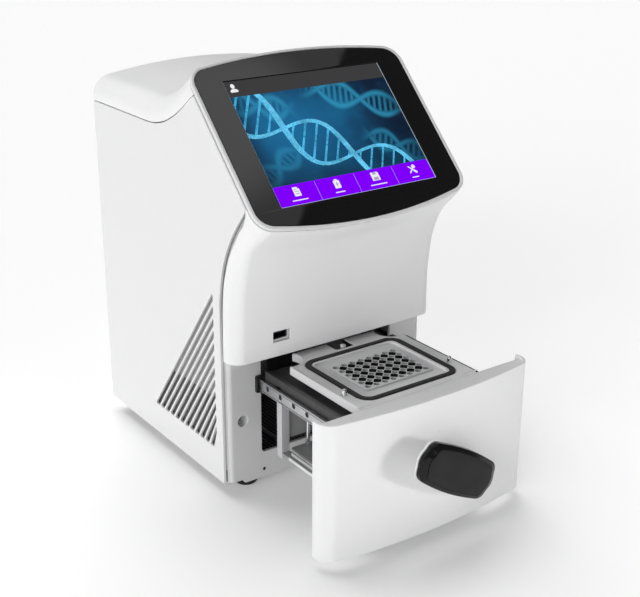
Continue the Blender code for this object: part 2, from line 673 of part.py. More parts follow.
# drawer front: bowed wall with a shelf at the top and a hole for the handle shaft
front_wall = drawer_u(0.0, DRAWER_REAR) + list(reversed(drawer_u(DRAWER_WALL, DRAWER_REAR)))
front = outline("drawer_front", [front_wall], DRAWER_Z, across_z, WHITE)
join(front, outline("drawer_shelf_add", [drawer_u(DRAWER_WALL - 1.2, SHELF_Y)],
                    (SHELF_Z - 2.4, SHELF_Z), across_z))
cut(front, rod_y("handle_hole_cut", 0.0, HANDLE_Z, 6.0, (-170.0, -150.0), 16))

# side frames: post at the rear with a beam and lip running forward; tie rods beside them
BEAM_Y = (-153.2, -30.0)
for tag, side in SIDES:
    post = box("drawer_side_frame_" + tag, x=sided(side, 63.5, 72.2), y=(-36.0, -28.5),
               z=(43.0, 112.2), mat=ALU)
    join(post, box("side_frame_beam_" + tag, sided(side, 63.4, 72.2), BEAM_Y, (45.0, 47.4)))
    join(post, box("side_frame_lip_" + tag, sided(side, 63.4, 65.0), BEAM_Y, (46.0, 50.0)))
    smooth(rods("tie_rod_" + tag, [(side * 49.5, -44.0)], 1.6, (50.3, 112.3), 10, CHROME))

# floor, and bulkhead with an air duct opening
box("drawer_floor", x=around(FLOOR_HW), y=(-146.4, -36.4), z=(48.2, 50.0), mat=COAT)
bulkhead = box("drawer_bulkhead", x=around(FLOOR_HW), y=(-33.5, -31.5), z=(58.6, 112.3),
               mat=COAT)
cut(bulkhead, box("bulkhead_duct_cut", x=around(38.0), y=(-40.0, -25.0), z=(64.0, 106.0)))

# deck with an opening over the heat sink
outline("drawer_deck", [rounded(72.2, 65.5, 2.0, 2, y=-75.5),
                        rounded(40.5, 32.25, 3.0, 2, y=-82.25)], DECK_Z, across_z, BLACK)

# tray around the sample block
TRAY_Z, TRAY_HW, TRAY_R = (121.2, 128.6), 63.0, 5.0
TRAY_FRONT, TRAY_REAR = -137.0, -14.0
BAY_X, BAY_Y, BAY_R = 58.0, -22.0, 14.5
CLIP_SLOT_X, CLIP_SLOT_Y = (-8.5, 10.5), -30.0


def tray_outline():
    """Rounded plate with a round bay at each rear corner and a clip slot at the rear."""
    to_side = TRAY_HW - BAY_X
    to_rear = TRAY_REAR - BAY_Y
    side_angle = -degrees(atan2(sqrt(BAY_R ** 2 - to_side ** 2), to_side))
    rear_angle = degrees(atan2(to_rear, -sqrt(BAY_R ** 2 - to_rear ** 2))) - 360.0
    edge = (arc(TRAY_HW - TRAY_R, TRAY_FRONT + TRAY_R, TRAY_R, 270, 360, 3)
            + arc(BAY_X, BAY_Y, BAY_R, side_angle, rear_angle, 9))
    left, right = CLIP_SLOT_X
    slot = [(right, TRAY_REAR), (right, CLIP_SLOT_Y), (left, CLIP_SLOT_Y), (left, TRAY_REAR)]
    return edge + slot + mirror(edge)


GASKET_HW, GASKET_HALF_Y, GASKET_R, GASKET_W = 51.9, 46.3, 12.5, 3.9


def gasket_loop(inset):
    """Outer edge of the gasket, moved inwards by the inset."""
    return rounded(GASKET_HW - inset, GASKET_HALF_Y - inset, GASKET_R - inset, 4, y=GASKET_Y)


outline("tray", [tray_outline(), gasket_loop(-GAP),
                 circle(-PIN_X, PIN_Y, PIN_R + 0.35, 10), circle(PIN_X, PIN_Y, PIN_R + 0.35, 10)],
        TRAY_Z, across_z, WHITE)
outline("gasket", [gasket_loop(0.0), gasket_loop(GASKET_W)], (122.0, 129.5), across_z, RUBBER)

# sample block: tapered wells on a grid, with square pockets between them
PITCH, COLUMNS, ROWS = 9.0, 8, 6
WELL_MOUTH_R, WELL_TIP_R = 2.8, 1.2
POCKET_HALF, POCKET_DEPTH = 2.35, 6.0
BLOCK_Z = (116.8, 128.2)
BLOCK_HW, BLOCK_HALF_Y = COLUMNS * PITCH / 2.0, ROWS * PITCH / 2.0
BLOCK_FIT = 0.4           # clearance to the frame around the block


def grid(columns, rows):
    """Places at the well pitch, centred on the block."""
    return [((column - (columns - 1) / 2.0) * PITCH, BLOCK_Y + (row - (rows - 1) / 2.0) * PITCH)
            for column in range(columns) for row in range(rows)]


outline("block_frame",
        [gasket_loop(GASKET_W + GAP),
         rounded(BLOCK_HW + BLOCK_FIT, BLOCK_HALF_Y + BLOCK_FIT, 2.4, 2, y=BLOCK_Y)],
        (SEAT_Z, 129.0), across_z, WHITE)
block = outline("well_block", [rounded(BLOCK_HW, BLOCK_HALF_Y, 2.0, 2, y=BLOCK_Y)],
                BLOCK_Z, across_z, ALU)
cut(block, cones("wells_cut", grid(COLUMNS, ROWS), (WELL_TIP_R, WELL_MOUTH_R),
                 (BLOCK_Z[1] - 10.6, BLOCK_Z[1] + 0.6), 8, turn=pi / 8))
pocket_r = POCKET_HALF * sqrt(2)
cut(block, cones("pockets_cut", grid(COLUMNS - 1, ROWS - 1), (pocket_r, pocket_r),
                 (BLOCK_Z[1] - POCKET_DEPTH, BLOCK_Z[1] + 1.0), 4, turn=pi / 4))

# peltier element under the block
box("peltier", around(34.5), around(25.5, BLOCK_Y), (112.7, BLOCK_Z[0] - GAP), CERAMIC)

# heat sink with fins hanging down, cooled by a fan behind it
SINK_HW, FIN_Z, FIN_ROOT_Z, SINK_TOP = 40.0, 60.0, 106.0, 112.4
FIN_COUNT, FIN_T = 13, 1.6
SINK_FAN_Z = 85.0


def fin_comb():
    points = [(SINK_HW, SINK_TOP), (-SINK_HW, SINK_TOP)]
    step = (2 * SINK_HW - FIN_T) / (FIN_COUNT - 1)
    for i in range(FIN_COUNT):
        x = -SINK_HW + step * i
        points += [(x, FIN_Z), (x + FIN_T, FIN_Z)]
        if i < FIN_COUNT - 1:
            points += [(x + FIN_T, FIN_ROOT_Z), (x + step, FIN_ROOT_Z)]
    return points


outline("heat_sink", [fin_comb()], (-126.0, -38.0), across_y, ALU)
fan_frame("sink_fan_frame", 0.0, SINK_FAN_Z, 25.0, (-31.0, -14.0), 16)
fan_rotor("sink_fan_rotor", 0.0, SINK_FAN_Z, 21.8, (-29.5, -18.5))

# guide pins
PIN_TOP = 133.5
PIN_PROFILE = [(0.0, PIN_TOP), (PIN_R * 0.62, PIN_TOP - 0.35), (PIN_R, PIN_TOP - 1.5),
               (PIN_R, SEAT_Z), (0.0, SEAT_Z)]
for tag, side in SIDES:
    turned("guide_pin_" + tag, PIN_PROFILE, 12, CHROME, (side * PIN_X, PIN_Y, 0.0))

# tray clip: foot with an upright tongue
clip = box("tray_clip", x=around(4.2), y=(-29.6, -17.0), z=(SEAT_Z, 117.6), mat=STEEL)
join(clip, box("clip_tongue_add", x=(-3.2, 2.6), y=(-29.2, -27.4), z=(116.6, 130.6)))

# ===========================================================================
# handle, shaft and latch arm, turning about y
# ===========================================================================
AXIS = (0.0, HANDLE_Y, HANDLE_Z)
HANDLE_HW, HANDLE_HZ, HANDLE_R = 44.3, 19.8, 9.0
HANDLE_BOW_X, HANDLE_BOW_Z = 2.6, 2.4

# sections from rear to front: inset, y
PAD_SECTIONS = ((0.6, -180.6), (0.0, -181.4), (0.4, -183.4), (6.6, -188.2), (7.4, HANDLE_FACE))
BODY_SECTIONS = ((1.2, -177.4), (-0.2, -178.4), (-0.3, -179.8), (0.4, -180.3))


def handle_loop(inset, y):
    """Rounded outline with four bowed sides, in the plane at y, about the handle's axis."""
    half_x, half_z = HANDLE_HW - inset, HANDLE_HZ - inset * 0.62
    radius = HANDLE_R - inset * 0.5
    corner_x, corner_z = half_x - HANDLE_BOW_X - radius, half_z - HANDLE_BOW_Z - radius
    quarter = [(half_x - HANDLE_BOW_X * (k / 3.0) ** 2, corner_z * k / 3.0) for k in (0, 1, 2)]
    quarter += arc(corner_x, corner_z, radius, 10, 80, 4)
    quarter += [(corner_x * k / 3.0, half_z - HANDLE_BOW_Z * (k / 3.0) ** 2) for k in (2, 1, 0)]
    points = []
    for sign_x, sign_z in ((1, 1), (-1, 1), (-1, -1), (1, -1)):
        path = quarter if sign_x == sign_z else quarter[::-1]
        points += [Vector((sign_x * x, y, HANDLE_Z + sign_z * z)) for x, z in path[:-1]]
    return points


def handle_loft(name, sections, mat):
    return rings(name, [handle_loop(inset, y) for inset, y in sections], mat, origin=AXIS)


pad = handle_loft("handle_pad", PAD_SECTIONS, BLACK)

# body with stem and shaft
body = handle_loft("handle_body", BODY_SECTIONS, GREY)
join(body, rod_y("handle_stem_add", 0.0, HANDLE_Z, 12.0, (-178.6, -162.3), 20, AXIS))
join(body, rod_y("handle_shaft_add", 0.0, HANDLE_Z, 5.6, (-178.0, -151.0), 16, AXIS))

# latch arm: round head on the shaft's axis, tapering to a tip below
ARM_TIP = 30.6
arm_points = arc(0.0, HANDLE_Z, 9.5, -30, 210, 8) + [
    (-5.0, ARM_TIP + 3.0), (-3.0, ARM_TIP), (3.0, ARM_TIP), (5.0, ARM_TIP + 3.0)]
arm = outline("latch_arm", [arm_points], (-150.7, -147.2), across_y, STEEL,
              origin=(0.0, -149.0, HANDLE_Z))

for piece in (pad, body, arm):
    piece.rotation_euler = (0.0, HANDLE_TURN, 0.0)

# centre the footprint on the world origin
for piece in list(PARTS.objects) + list(HELPERS.objects):
    piece.location.y += SHIFT_Y * MM
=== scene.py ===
"""Benchtop machine: a sample block in a sliding drawer, under a tilted touch display.

Pieces are drawn in the machine frame in millimetres: x to the right, y to the rear, z up, the
side panels' front edges at y = 0. The row frame, in metres, is that frame moved along y so that
the origin is the middle of the footprint.
"""
from functools import partial
from math import atan2, cos, pi, radians, sin, sqrt

import bmesh
import bpy
from mathutils import Matrix, Vector
from mathutils.geometry import tessellate_polygon


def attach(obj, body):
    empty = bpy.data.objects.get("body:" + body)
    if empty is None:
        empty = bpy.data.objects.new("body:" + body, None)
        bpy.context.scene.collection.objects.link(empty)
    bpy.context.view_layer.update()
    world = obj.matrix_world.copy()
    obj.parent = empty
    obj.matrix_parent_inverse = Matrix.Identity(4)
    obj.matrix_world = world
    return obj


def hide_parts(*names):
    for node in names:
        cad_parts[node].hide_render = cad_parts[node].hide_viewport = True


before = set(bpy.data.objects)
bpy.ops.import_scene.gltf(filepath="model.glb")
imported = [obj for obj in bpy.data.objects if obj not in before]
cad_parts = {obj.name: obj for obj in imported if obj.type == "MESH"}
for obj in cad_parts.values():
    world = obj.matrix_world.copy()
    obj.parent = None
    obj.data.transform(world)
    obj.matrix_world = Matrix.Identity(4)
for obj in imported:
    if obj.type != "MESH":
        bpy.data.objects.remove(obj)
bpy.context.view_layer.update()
scene = bpy.context.scene

MM = 0.001
SIDES = (("l", -1), ("r", 1))

# Footprint: the grip pad's face is its front, the side panels' rear edges its back.
HALF_W, DEPTH = 110.6, 221.2
HANDLE_FACE = -189.0
ROW_Y = -(DEPTH + HANDLE_FACE) / 2.0
TO_ROW = Matrix.Scale(MM, 4) @ Matrix.Translation((0, ROW_Y, 0))

# The tilted face of the head.
TILT, FACE_Y, FACE_Z = radians(45.1), -9.2, 321.5
FACE = Matrix((
    (1, 0, 0, 0),
    (0, cos(TILT), -sin(TILT), FACE_Y),
    (0, sin(TILT), cos(TILT), FACE_Z),
    (0, 0, 0, 1)))

# The handle, turned about its own axis.
HANDLE_Y, HANDLE_Z, HANDLE_TURN = -185.0, 74.5, radians(30.9)
TURN_HANDLE = (Matrix.Translation((0, HANDLE_Y, HANDLE_Z)) @ Matrix.Rotation(HANDLE_TURN, 4, 'Y')
               @ Matrix.Translation((0, -HANDLE_Y, -HANDLE_Z)))


def on_face(across, down, out=0.0):
    """Point of the tilted face: to the right, downwards, out of the face."""
    return FACE @ Vector((across, -down, out))


def on_side(side, near, far):
    """Range of x between two distances from the middle, on one side."""
    return tuple(sorted((side * near, side * far)))


# ===========================================================================
# outlines
# ===========================================================================
def arc(x, y, radius, start, end, steps):
    """Arc round (x, y), angles in degrees."""
    angles = [radians(start + (end - start) * i / steps) for i in range(steps + 1)]
    return [(x + radius * cos(angle), y + radius * sin(angle)) for angle in angles]


def rounded(left, right, low, high, radius, steps=6):
    """Rectangle with round corners."""
    centres = ((right - radius, high - radius), (left + radius, high - radius),
               (left + radius, low + radius), (right - radius, low + radius))
    return [point for i, (x, y) in enumerate(centres)
            for point in arc(x, y, radius, 90 * i, 90 * i + 90, steps)]


def circle(x, y, radius, steps=32):
    angles = [2 * pi * i / steps for i in range(steps)]
    return [(x + radius * cos(angle), y + radius * sin(angle)) for angle in angles]


def turned(points, degrees, x, y):
    """Turns points about their origin, then moves the origin to (x, y)."""
    cosine, sine = cos(radians(degrees)), sin(radians(degrees))
    return [(x + across * cosine - up * sine, y + across * sine + up * cosine)
            for across, up in points]


def mirrored(half):
    """Adds the mirror image of a half outline that ends on the middle line."""
    return half + [(-x, y) for x, y in reversed(half[:-1])]


def spline(points, steps=6):
    """Smooth open curve through tuples of any length, with so many steps per span."""
    curve = []
    last = len(points) - 1
    for i in range(last):
        around = (points[max(i - 1, 0)], points[i], points[i + 1], points[min(i + 2, last)])
        for k in range(steps):
            t = k / steps
            curve.append(tuple(
                0.5 * (2 * here + (after - before) * t
                       + (2 * before - 5 * here + 4 * after - beyond) * t * t
                       + (3 * here - before - 3 * after + beyond) * t ** 3)
                for before, here, after, beyond in zip(*around)))
    curve.append(tuple(points[-1]))
    return curve


def clean(points):
    """Drops points that repeat the one before."""
    def apart(one, two):
        return (one[0] - two[0]) ** 2 + (one[1] - two[1]) ** 2
    kept = []
    for point in points:
        if not kept or apart(point, kept[-1]) > 1e-6:
            kept.append(point)
    if apart(kept[0], kept[-1]) < 1e-6:
        kept.pop()
    return kept


def fillet(points, radius, steps=4, limit=25.0):
    """Rounds every corner that turns by more than the limit in degrees."""
    points = clean(points)
    outline = []
    for i, point in enumerate(points):
        corner = Vector(point)
        back = Vector(points[i - 1]) - corner
        ahead = Vector(points[(i + 1) % len(points)]) - corner
        back_length, ahead_length = back.length, ahead.length
        back.normalize()
        ahead.normalize()
        inner = back.angle(ahead)
        if pi - inner < radians(limit):
            outline.append(tuple(corner))
            continue
        slope = sin(inner / 2) / cos(inner / 2)
        cut = min(radius / max(1e-6, slope), 0.45 * back_length, 0.45 * ahead_length)
        bend = cut * slope
        centre = corner + (back + ahead).normalized() * sqrt(bend * bend + cut * cut)
        first, last = corner + back * cut - centre, corner + ahead * cut - centre
        start = atan2(first.y, first.x)
        sweep = (atan2(last.y, last.x) - start + pi) % (2 * pi) - pi
        outline += [(centre.x + bend * cos(start + sweep * k / steps),
                     centre.y + bend * sin(start + sweep * k / steps)) for k in range(steps + 1)]
    return outline


def bowed_side(half_width, peak, edge, radius, arc_steps, edge_steps, short=0.0):
    """Half outline round the corner to the middle of a bowed edge; short is in degrees and
    leaves off the end of the corner arc."""
    bow = (peak - edge) / (0.84 * half_width) ** 2
    touch = half_width - radius
    for _ in range(40):
        slope = 2 * bow * touch
        normal_x, normal_y = slope / sqrt(1 + slope * slope), 1 / sqrt(1 + slope * slope)
        touch = half_width - radius + radius * normal_x
    centre_y = peak - bow * touch * touch - radius * normal_y
    end = atan2(normal_y, normal_x) - radians(short)
    points = [(half_width - radius + radius * cos(end * i / arc_steps),
               centre_y + radius * sin(end * i / arc_steps)) for i in range(arc_steps + 1)]
    for i in range(1, edge_steps + 1):
        x = touch * (1 - i / edge_steps)
        points.append((x, peak - bow * x * x))
    return points


def bowed_u(half_width, start, *side):
    """Open U from the height start on one side, round a bowed edge, to the other side."""
    return mirrored([(half_width, start)] + bowed_side(half_width, *side))


def bowed_outline(half_width, top, top_edge, bottom, bottom_edge, radius):
    upper = bowed_side(half_width, top, top_edge, radius, 14, 16)
    lower = bowed_side(half_width, bottom, bottom_edge, radius, 14, 16)
    return mirrored(upper) + [(-x, -y) for x, y in mirrored(lower)]


# ===========================================================================
# solids
# ===========================================================================
def place(plane, across, up, out):
    """Point of a plane, given by its axes or by a matrix, lifted out of it."""
    if plane == 'XY':
        return Vector((across, up, out))
    if plane == 'YZ':
        return Vector((out, across, up))
    if plane == 'XZ':
        return Vector((across, out, up))
    return plane @ Vector((across, up, out))


def area(points):
    return 0.5 * sum(points[i - 1][0] * points[i][1] - points[i][0] * points[i - 1][1]
                     for i in range(len(points)))


def inset(points, distance):
    """Moves an outline to its left."""
    moved = []
    for i, point in enumerate(points):
        corner = Vector(point)
        before = (corner - Vector(points[i - 1])).normalized()
        after = (Vector(points[(i + 1) % len(points)]) - corner).normalized()
        normal = Vector((-before.y, before.x))
        mid = normal + Vector((-after.y, after.x))
        if mid.length < 1e-6:
            mid, stretch = normal, 1.0
        else:
            mid.normalize()
            stretch = min(2.2, 1.0 / max(0.2, mid.dot(normal)))
        moved.append(tuple(corner + mid * distance * stretch))
    return moved


def to_mesh(shape, name="mesh"):
    mesh = bpy.data.meshes.new(name)
    shape.to_mesh(mesh)
    shape.free()
    return mesh


def closed_mesh(shape):
    """Turns all faces outwards."""
    bmesh.ops.recalc_face_normals(shape, faces=shape.faces)
    return to_mesh(shape)


def stitch(shape, rows):
    """Joins neighbouring closed rows; a row of one vertex is a tip."""
    for near, far in zip(rows, rows[1:]):
        count = max(len(near), len(far))
        for i in range(count):
            j = (i + 1) % count
            corners = (near[i % len(near)], near[j % len(near)],
                       far[j % len(far)], far[i % len(far)])
            shape.faces.new(tuple(dict.fromkeys(corners)))


def plate(loops, bottom, top, plane='XY', edge=0.3, steps=3, low=None, rim=None):
    """Flat piece: outer outline, then holes. edge rounds its edges, low those of the lower face;
    rim is another (rounding, way to shrink) for the lower edge of the outer outline."""
    loops = [clean(loop) for loop in loops]
    loops = [loop if (area(loop) > 0) == (i == 0) else list(reversed(loop))
             for i, loop in enumerate(loops)]
    shape = bmesh.new()
    end_verts, end_loops = ([], []), ([], [])
    for i, loop in enumerate(loops):
        low_edge, shrink = (edge if low is None else low), inset
        if rim and i == 0:
            low_edge, shrink = rim
        levels = []
        for k in range(steps + 1 if low_edge > 0 else 1):
            angle = pi / 2 * (1 - k / steps)
            levels.append((low_edge * (1 - cos(angle)), bottom + low_edge * (1 - sin(angle)),
                           shrink))
        for k in range(steps + 1 if edge > 0 else 1):
            angle = pi / 2 * k / steps
            levels.append((edge * (1 - cos(angle)), top - edge * (1 - sin(angle)), inset))
        outlines = [way(loop, inward) if inward > 0 else loop for inward, _, way in levels]
        rows = [[shape.verts.new(place(plane, x, y, level[1])) for x, y in outline]
                for outline, level in zip(outlines, levels)]
        stitch(shape, rows)
        for end, row in ((0, 0), (1, -1)):
            end_verts[end].extend(rows[row])
            end_loops[end].append([Vector((x, y, 0)) for x, y in outlines[row]])
    for verts, outlines in zip(end_verts, end_loops):
        for triangle in tessellate_polygon(outlines):
            try:
                shape.faces.new([verts[i] for i in triangle])
            except ValueError:
                # The triangulation can return a repeated or collapsed triangle.
                pass
    return closed_mesh(shape)


def block(x, y, z, edge=0.4, steps=3):
    """Block with rounded edges, from three ranges."""
    radius = min(edge, 0.49 * min(x[1] - x[0], y[1] - y[0], z[1] - z[0]))
    return plate([rounded(*x, *y, radius, steps)], *z, 'XY', radius, steps)


def rings(sections):
    """Closed body through sections of equal point count."""
    shape = bmesh.new()
    rows = [[shape.verts.new(point) for point in section] for section in sections]
    stitch(shape, rows)
    shape.faces.new(rows[0])
    shape.faces.new(list(reversed(rows[-1])))
    return closed_mesh(shape)


def lathe(profile, centre, plane='XY', steps=48):
    """Turned piece on an axis square to the plane; the profile is (radius, height)."""
    shape = bmesh.new()
    rows = []
    for radius, height in profile:
        points = [centre] if radius < 1e-6 else circle(*centre, radius, steps)
        rows.append([shape.verts.new(place(plane, x, y, height)) for x, y in points])
    stitch(shape, rows)
    return closed_mesh(shape)


def rod(x, z, radius, front, rear, edge=0.3, steps=32):
    """Round bar along y."""
    return lathe([(0, front), (radius - edge, front), (radius, front + edge),
                  (radius, rear - edge), (radius - edge, rear), (0, rear)], (x, z), 'XZ', steps)


def tube(path, radii, steps=10):
    """Round bar along a path, with one radius per point."""
    path = [Vector(point) for point in path]
    sections = []
    side = None
    for i, point in enumerate(path):
        along = (path[min(i + 1, len(path) - 1)] - path[max(i - 1, 0)]).normalized()
        if side is None:
            side = along.cross(Vector((0, 0, 1)))
        else:
            side = side - along * side.dot(along)
        side.normalize()
        normal = side.cross(along)
        sections.append([point + side * radii[i] * cos(2 * pi * k / steps)
                         + normal * radii[i] * sin(2 * pi * k / steps) for k in range(steps)])
    return rings(sections)


def joined(meshes):
    shape = bmesh.new()
    for mesh in meshes:
        shape.from_mesh(mesh)
        bpy.data.meshes.remove(mesh)
    return to_mesh(shape)


def add_object(name, data):
    made = bpy.data.objects.new(name, data)
    scene.collection.objects.link(made)
    return made


def combine(mesh, tool=None, operation='DIFFERENCE', wall=None):
    """Thickens a sheet inwards by the wall, or runs a boolean with the tool."""
    target = add_object("target", mesh)
    if wall:
        solid = target.modifiers.new("wall", 'SOLIDIFY')
        solid.thickness, solid.offset, solid.use_even_offset = wall, -1.0, True
    helper = None
    if tool:
        helper = add_object("tool", tool)
        cut = target.modifiers.new("bool", 'BOOLEAN')
        cut.operation, cut.solver, cut.object = operation, 'EXACT', helper
    bpy.context.view_layer.update()
    depsgraph = bpy.context.evaluated_depsgraph_get()
    result = bpy.data.meshes.new_from_object(target.evaluated_get(depsgraph))
    bpy.data.objects.remove(target, do_unlink=True)
    if helper:
        bpy.data.objects.remove(helper, do_unlink=True)
    return result


def sheet(rows):
    """Open surface through rows of points."""
    shape = bmesh.new()
    verts = [[shape.verts.new(point) for point in row] for row in rows]
    for near, far in zip(verts, verts[1:]):
        for i in range(len(near) - 1):
            shape.faces.new((far[i], far[i + 1], near[i + 1], near[i]))
    return to_mesh(shape)


def add_bevel(target, width):
    bevel = target.modifiers.new("edge", 'BEVEL')
    bevel.width, bevel.segments = width * MM, 2
    bevel.limit_method, bevel.angle_limit = 'ANGLE', radians(40)
    return bevel


FINISH = {}


def piece(name, mesh, finish, slot=None, stands_for=None, body="chassis", angle=38.0, bevel=None):
    if body == "handle":
        mesh.transform(TURN_HANDLE)
    mesh.transform(TO_ROW)
    mesh.name = name
    mesh.materials.clear()
    for key in [finish] if isinstance(finish, str) else finish:
        mesh.materials.append(FINISH[key])
    mesh.shade_smooth()
    mesh.set_sharp_from_angle(angle=radians(angle))
    made = add_object(name, mesh)
    if bevel:
        add_bevel(made, bevel).harden_normals = True
    else:
        normals = made.modifiers.new("normals", 'WEIGHTED_NORMAL')
        normals.keep_sharp = True
        normals.weight = 80
    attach(made, body)
    if stands_for:
        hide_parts(stands_for)
    return made


drawer_piece = partial(piece, body="drawer")


# ===========================================================================
# shader graphs
# ===========================================================================
class Graph:
    """Node tree with short calls for the nodes used here."""

    def __init__(self, tree, coordinates):
        self.tree = tree
        self.coords = self.put('ShaderNodeTexCoord').outputs[coordinates]

    def fill(self, node, inputs):
        """Links or sets inputs; colours are given without alpha."""
        for key, value in inputs.items():
            socket = node.inputs[key]
            if isinstance(value, bpy.types.NodeSocket):
                self.tree.links.new(value, socket)
            elif socket.type == 'RGBA':
                socket.default_value = (*value, 1.0)
            else:
                socket.default_value = value

    def put(self, kind, inputs=None, **settings):
        node = self.tree.nodes.new(kind)
        for key, value in settings.items():
            setattr(node, key, value)
        self.fill(node, inputs or {})
        return node

    def math(self, operation, first, second=0.0):
        return self.put('ShaderNodeMath', {0: first, 1: second}, operation=operation).outputs[0]

    def times(self, first, second):
        return self.math('MULTIPLY', first, second)

    def plus(self, first, second):
        return self.math('ADD', first, second)

    def ramp(self, value, over, to=(0.0, 1.0), smooth=False):
        """Maps the range over to the range to, clamped."""
        return self.put(
            'ShaderNodeMapRange',
            {'Value': value, 'From Min': over[0], 'From Max': over[1],
             'To Min': to[0], 'To Max': to[1]},
            interpolation_type='SMOOTHSTEP' if smooth else 'LINEAR').outputs['Result']


class Material(Graph):
    """Principled material on object coordinates, in metres."""

    def __init__(self, name):
        self.material = bpy.data.materials.new(name)
        self.material.use_nodes = True
        super().__init__(self.material.node_tree, 'Object')
        self.shader = self.tree.nodes["Principled BSDF"]

    def surface(self, inputs):
        self.fill(self.shader, inputs)

    def stretched(self, scale):
        return self.put('ShaderNodeMapping',
                        {'Scale': scale, 'Vector': self.coords}).outputs['Vector']

    def noise(self, scale, detail=2.0, rough=0.5, stretch=None, over=None, to=(0.0, 1.0),
              smooth=False):
        """Noise, mapped like a ramp if over is given."""
        vector = self.stretched(stretch) if stretch else self.coords
        value = self.put('ShaderNodeTexNoise', {'Scale': scale, 'Detail': detail,
                                                'Roughness': rough, 'Vector': vector})
        value = value.outputs['Fac']
        return self.ramp(value, over, to, smooth) if over else value

    def cells(self, scale, feature='F1'):
        return self.put('ShaderNodeTexVoronoi', {'Scale': scale, 'Vector': self.coords},
                        feature=feature).outputs['Distance']

    def mix(self, factor, first, second, amount=None):
        """Colour mix; amount scales the factor."""
        if amount is not None:
            factor = self.times(factor, amount)
        return self.put('ShaderNodeMix', {'Factor': factor, 'A': first, 'B': second},
                        data_type='RGBA').outputs['Result']

    def bump(self, *layers):
        """Layers are (height, depth in mm), each laid over the one before."""
        normal = None
        for height, depth in layers:
            inputs = {'Strength': 1.0, 'Distance': depth * MM, 'Height': height}
            if normal is not None:
                inputs['Normal'] = normal
            normal = self.put('ShaderNodeBump', inputs).outputs['Normal']
        self.surface({'Normal': normal})

    def edges(self, over=(0.515, 0.56)):
        """1 on convex edges."""
        return self.ramp(self.put('ShaderNodeNewGeometry').outputs['Pointiness'], over)

    def axes(self, vector):
        return self.put('ShaderNodeSeparateXYZ', {0: vector}).outputs

    def upward(self):
        """1 on faces that look up."""
        normal = self.put('ShaderNodeNewGeometry').outputs['Normal']
        return self.ramp(self.axes(normal)['Z'], over=(0.2, 0.95))


def shade(colour, factor):
    return tuple(min(1.0, x * factor) for x in colour)


# ===========================================================================
# finishes
# ===========================================================================
def plastic(name, colour, rough, grain, depth, tone, dust, gloss=0.5, wear=0.0, worn=None):
    """Moulded plastic: fine grain, slow tone drift, handling marks, dust on upward faces."""
    mat = Material(name)
    base = mat.mix(mat.noise(scale=9.0, detail=3.0), shade(colour, 1 - tone),
                   shade(colour, 1 + tone))
    speck = mat.noise(scale=1000.0 / (grain * 1.6), detail=1.0, over=(0.62, 0.78))
    base = mat.mix(speck, base, shade(colour, 0.82), amount=0.10)
    if dust:
        settled = mat.times(mat.upward(), mat.noise(scale=60.0, detail=6.0, rough=0.7,
                                                    over=(0.45, 0.75)))
        base = mat.mix(settled, base, (0.62, 0.61, 0.60), amount=dust)
    edge = mat.edges()
    if wear:
        rubbed = mat.times(edge, mat.noise(scale=300.0, detail=4.0, over=(0.35, 0.6)))
        base = mat.mix(rubbed, base, worn, amount=wear)
    marks = mat.noise(scale=38.0, detail=5.0, rough=0.65, over=(0.3, 0.75),
                      to=(rough - 0.05, rough + 0.07))
    mat.surface({'Base Color': base, 'Roughness': mat.plus(marks, mat.times(edge, -0.05)),
                 'IOR': 1.46, 'Specular IOR Level': gloss, 'Coat Roughness': 0.12})
    mat.bump((mat.noise(scale=1000.0 / grain, rough=0.6), depth),
             (mat.noise(scale=70.0), depth * 1.5))
    return mat.material


def rubber(name, colour):
    mat = Material(name)
    fine = mat.noise(scale=2600.0, detail=3.0, rough=0.7)
    base = mat.mix(mat.noise(scale=160.0, detail=5.0, rough=0.7, over=(0.4, 0.7)),
                   shade(colour, 0.75), shade(colour, 1.25))
    base = mat.mix(mat.upward(), base, (0.3, 0.29, 0.28), amount=0.05)
    mat.surface({'Base Color': base, 'Specular IOR Level': 0.35,
                 'Roughness': mat.ramp(fine, over=(0.3, 0.7), to=(0.62, 0.82))})
    mat.bump((fine, 0.02), (mat.noise(scale=400.0), 0.03))
    return mat.material


def painted(name, colour, rough):
    """Powder coat: orange peel, small pits and rubbed edges where the metal shines through."""
    mat = Material(name)
    base = mat.mix(mat.noise(scale=16.0, detail=4.0), shade(colour, 0.94), shade(colour, 1.06))
    rubbed = mat.times(mat.edges(over=(0.53, 0.6)),
                       mat.noise(scale=500.0, detail=4.0, over=(0.4, 0.6)))
    mat.surface({'Base Color': mat.mix(rubbed, base, (0.55, 0.55, 0.56), amount=0.5),
                 'Roughness': mat.noise(scale=45.0, detail=5.0, over=(0.3, 0.7),
                                        to=(rough - 0.06, rough + 0.08))})
    peel = mat.cells(scale=1000.0 / 0.9, feature='SMOOTH_F1')
    mat.bump((peel, 0.03), (mat.noise(scale=3000.0, detail=1.0), 0.009))
    return mat.material


def brushed(name, colour, rough, along):
    """Metal with brush lines along one axis and a few deeper scratches."""
    mat = Material(name)
    lines = mat.noise(scale=60.0, detail=4.0, rough=0.75, stretch=along)
    deep = mat.noise(scale=24.0, rough=0.8, stretch=along, over=(0.68, 0.72))
    base = mat.mix(lines, shade(colour, 0.86), shade(colour, 1.08))
    stains = mat.noise(scale=30.0, detail=5.0, over=(0.5, 0.8))
    lines_rough = mat.ramp(lines, over=(0.25, 0.75), to=(rough - 0.06, rough + 0.10))
    mat.surface({'Base Color': mat.mix(stains, base, shade(colour, 0.7), amount=0.18),
                 'Metallic': 1.0, 'Anisotropic': 0.4,
                 'Roughness': mat.plus(lines_rough, mat.times(deep, 0.1))})
    mat.bump((lines, 0.015), (deep, 0.018))
    return mat.material


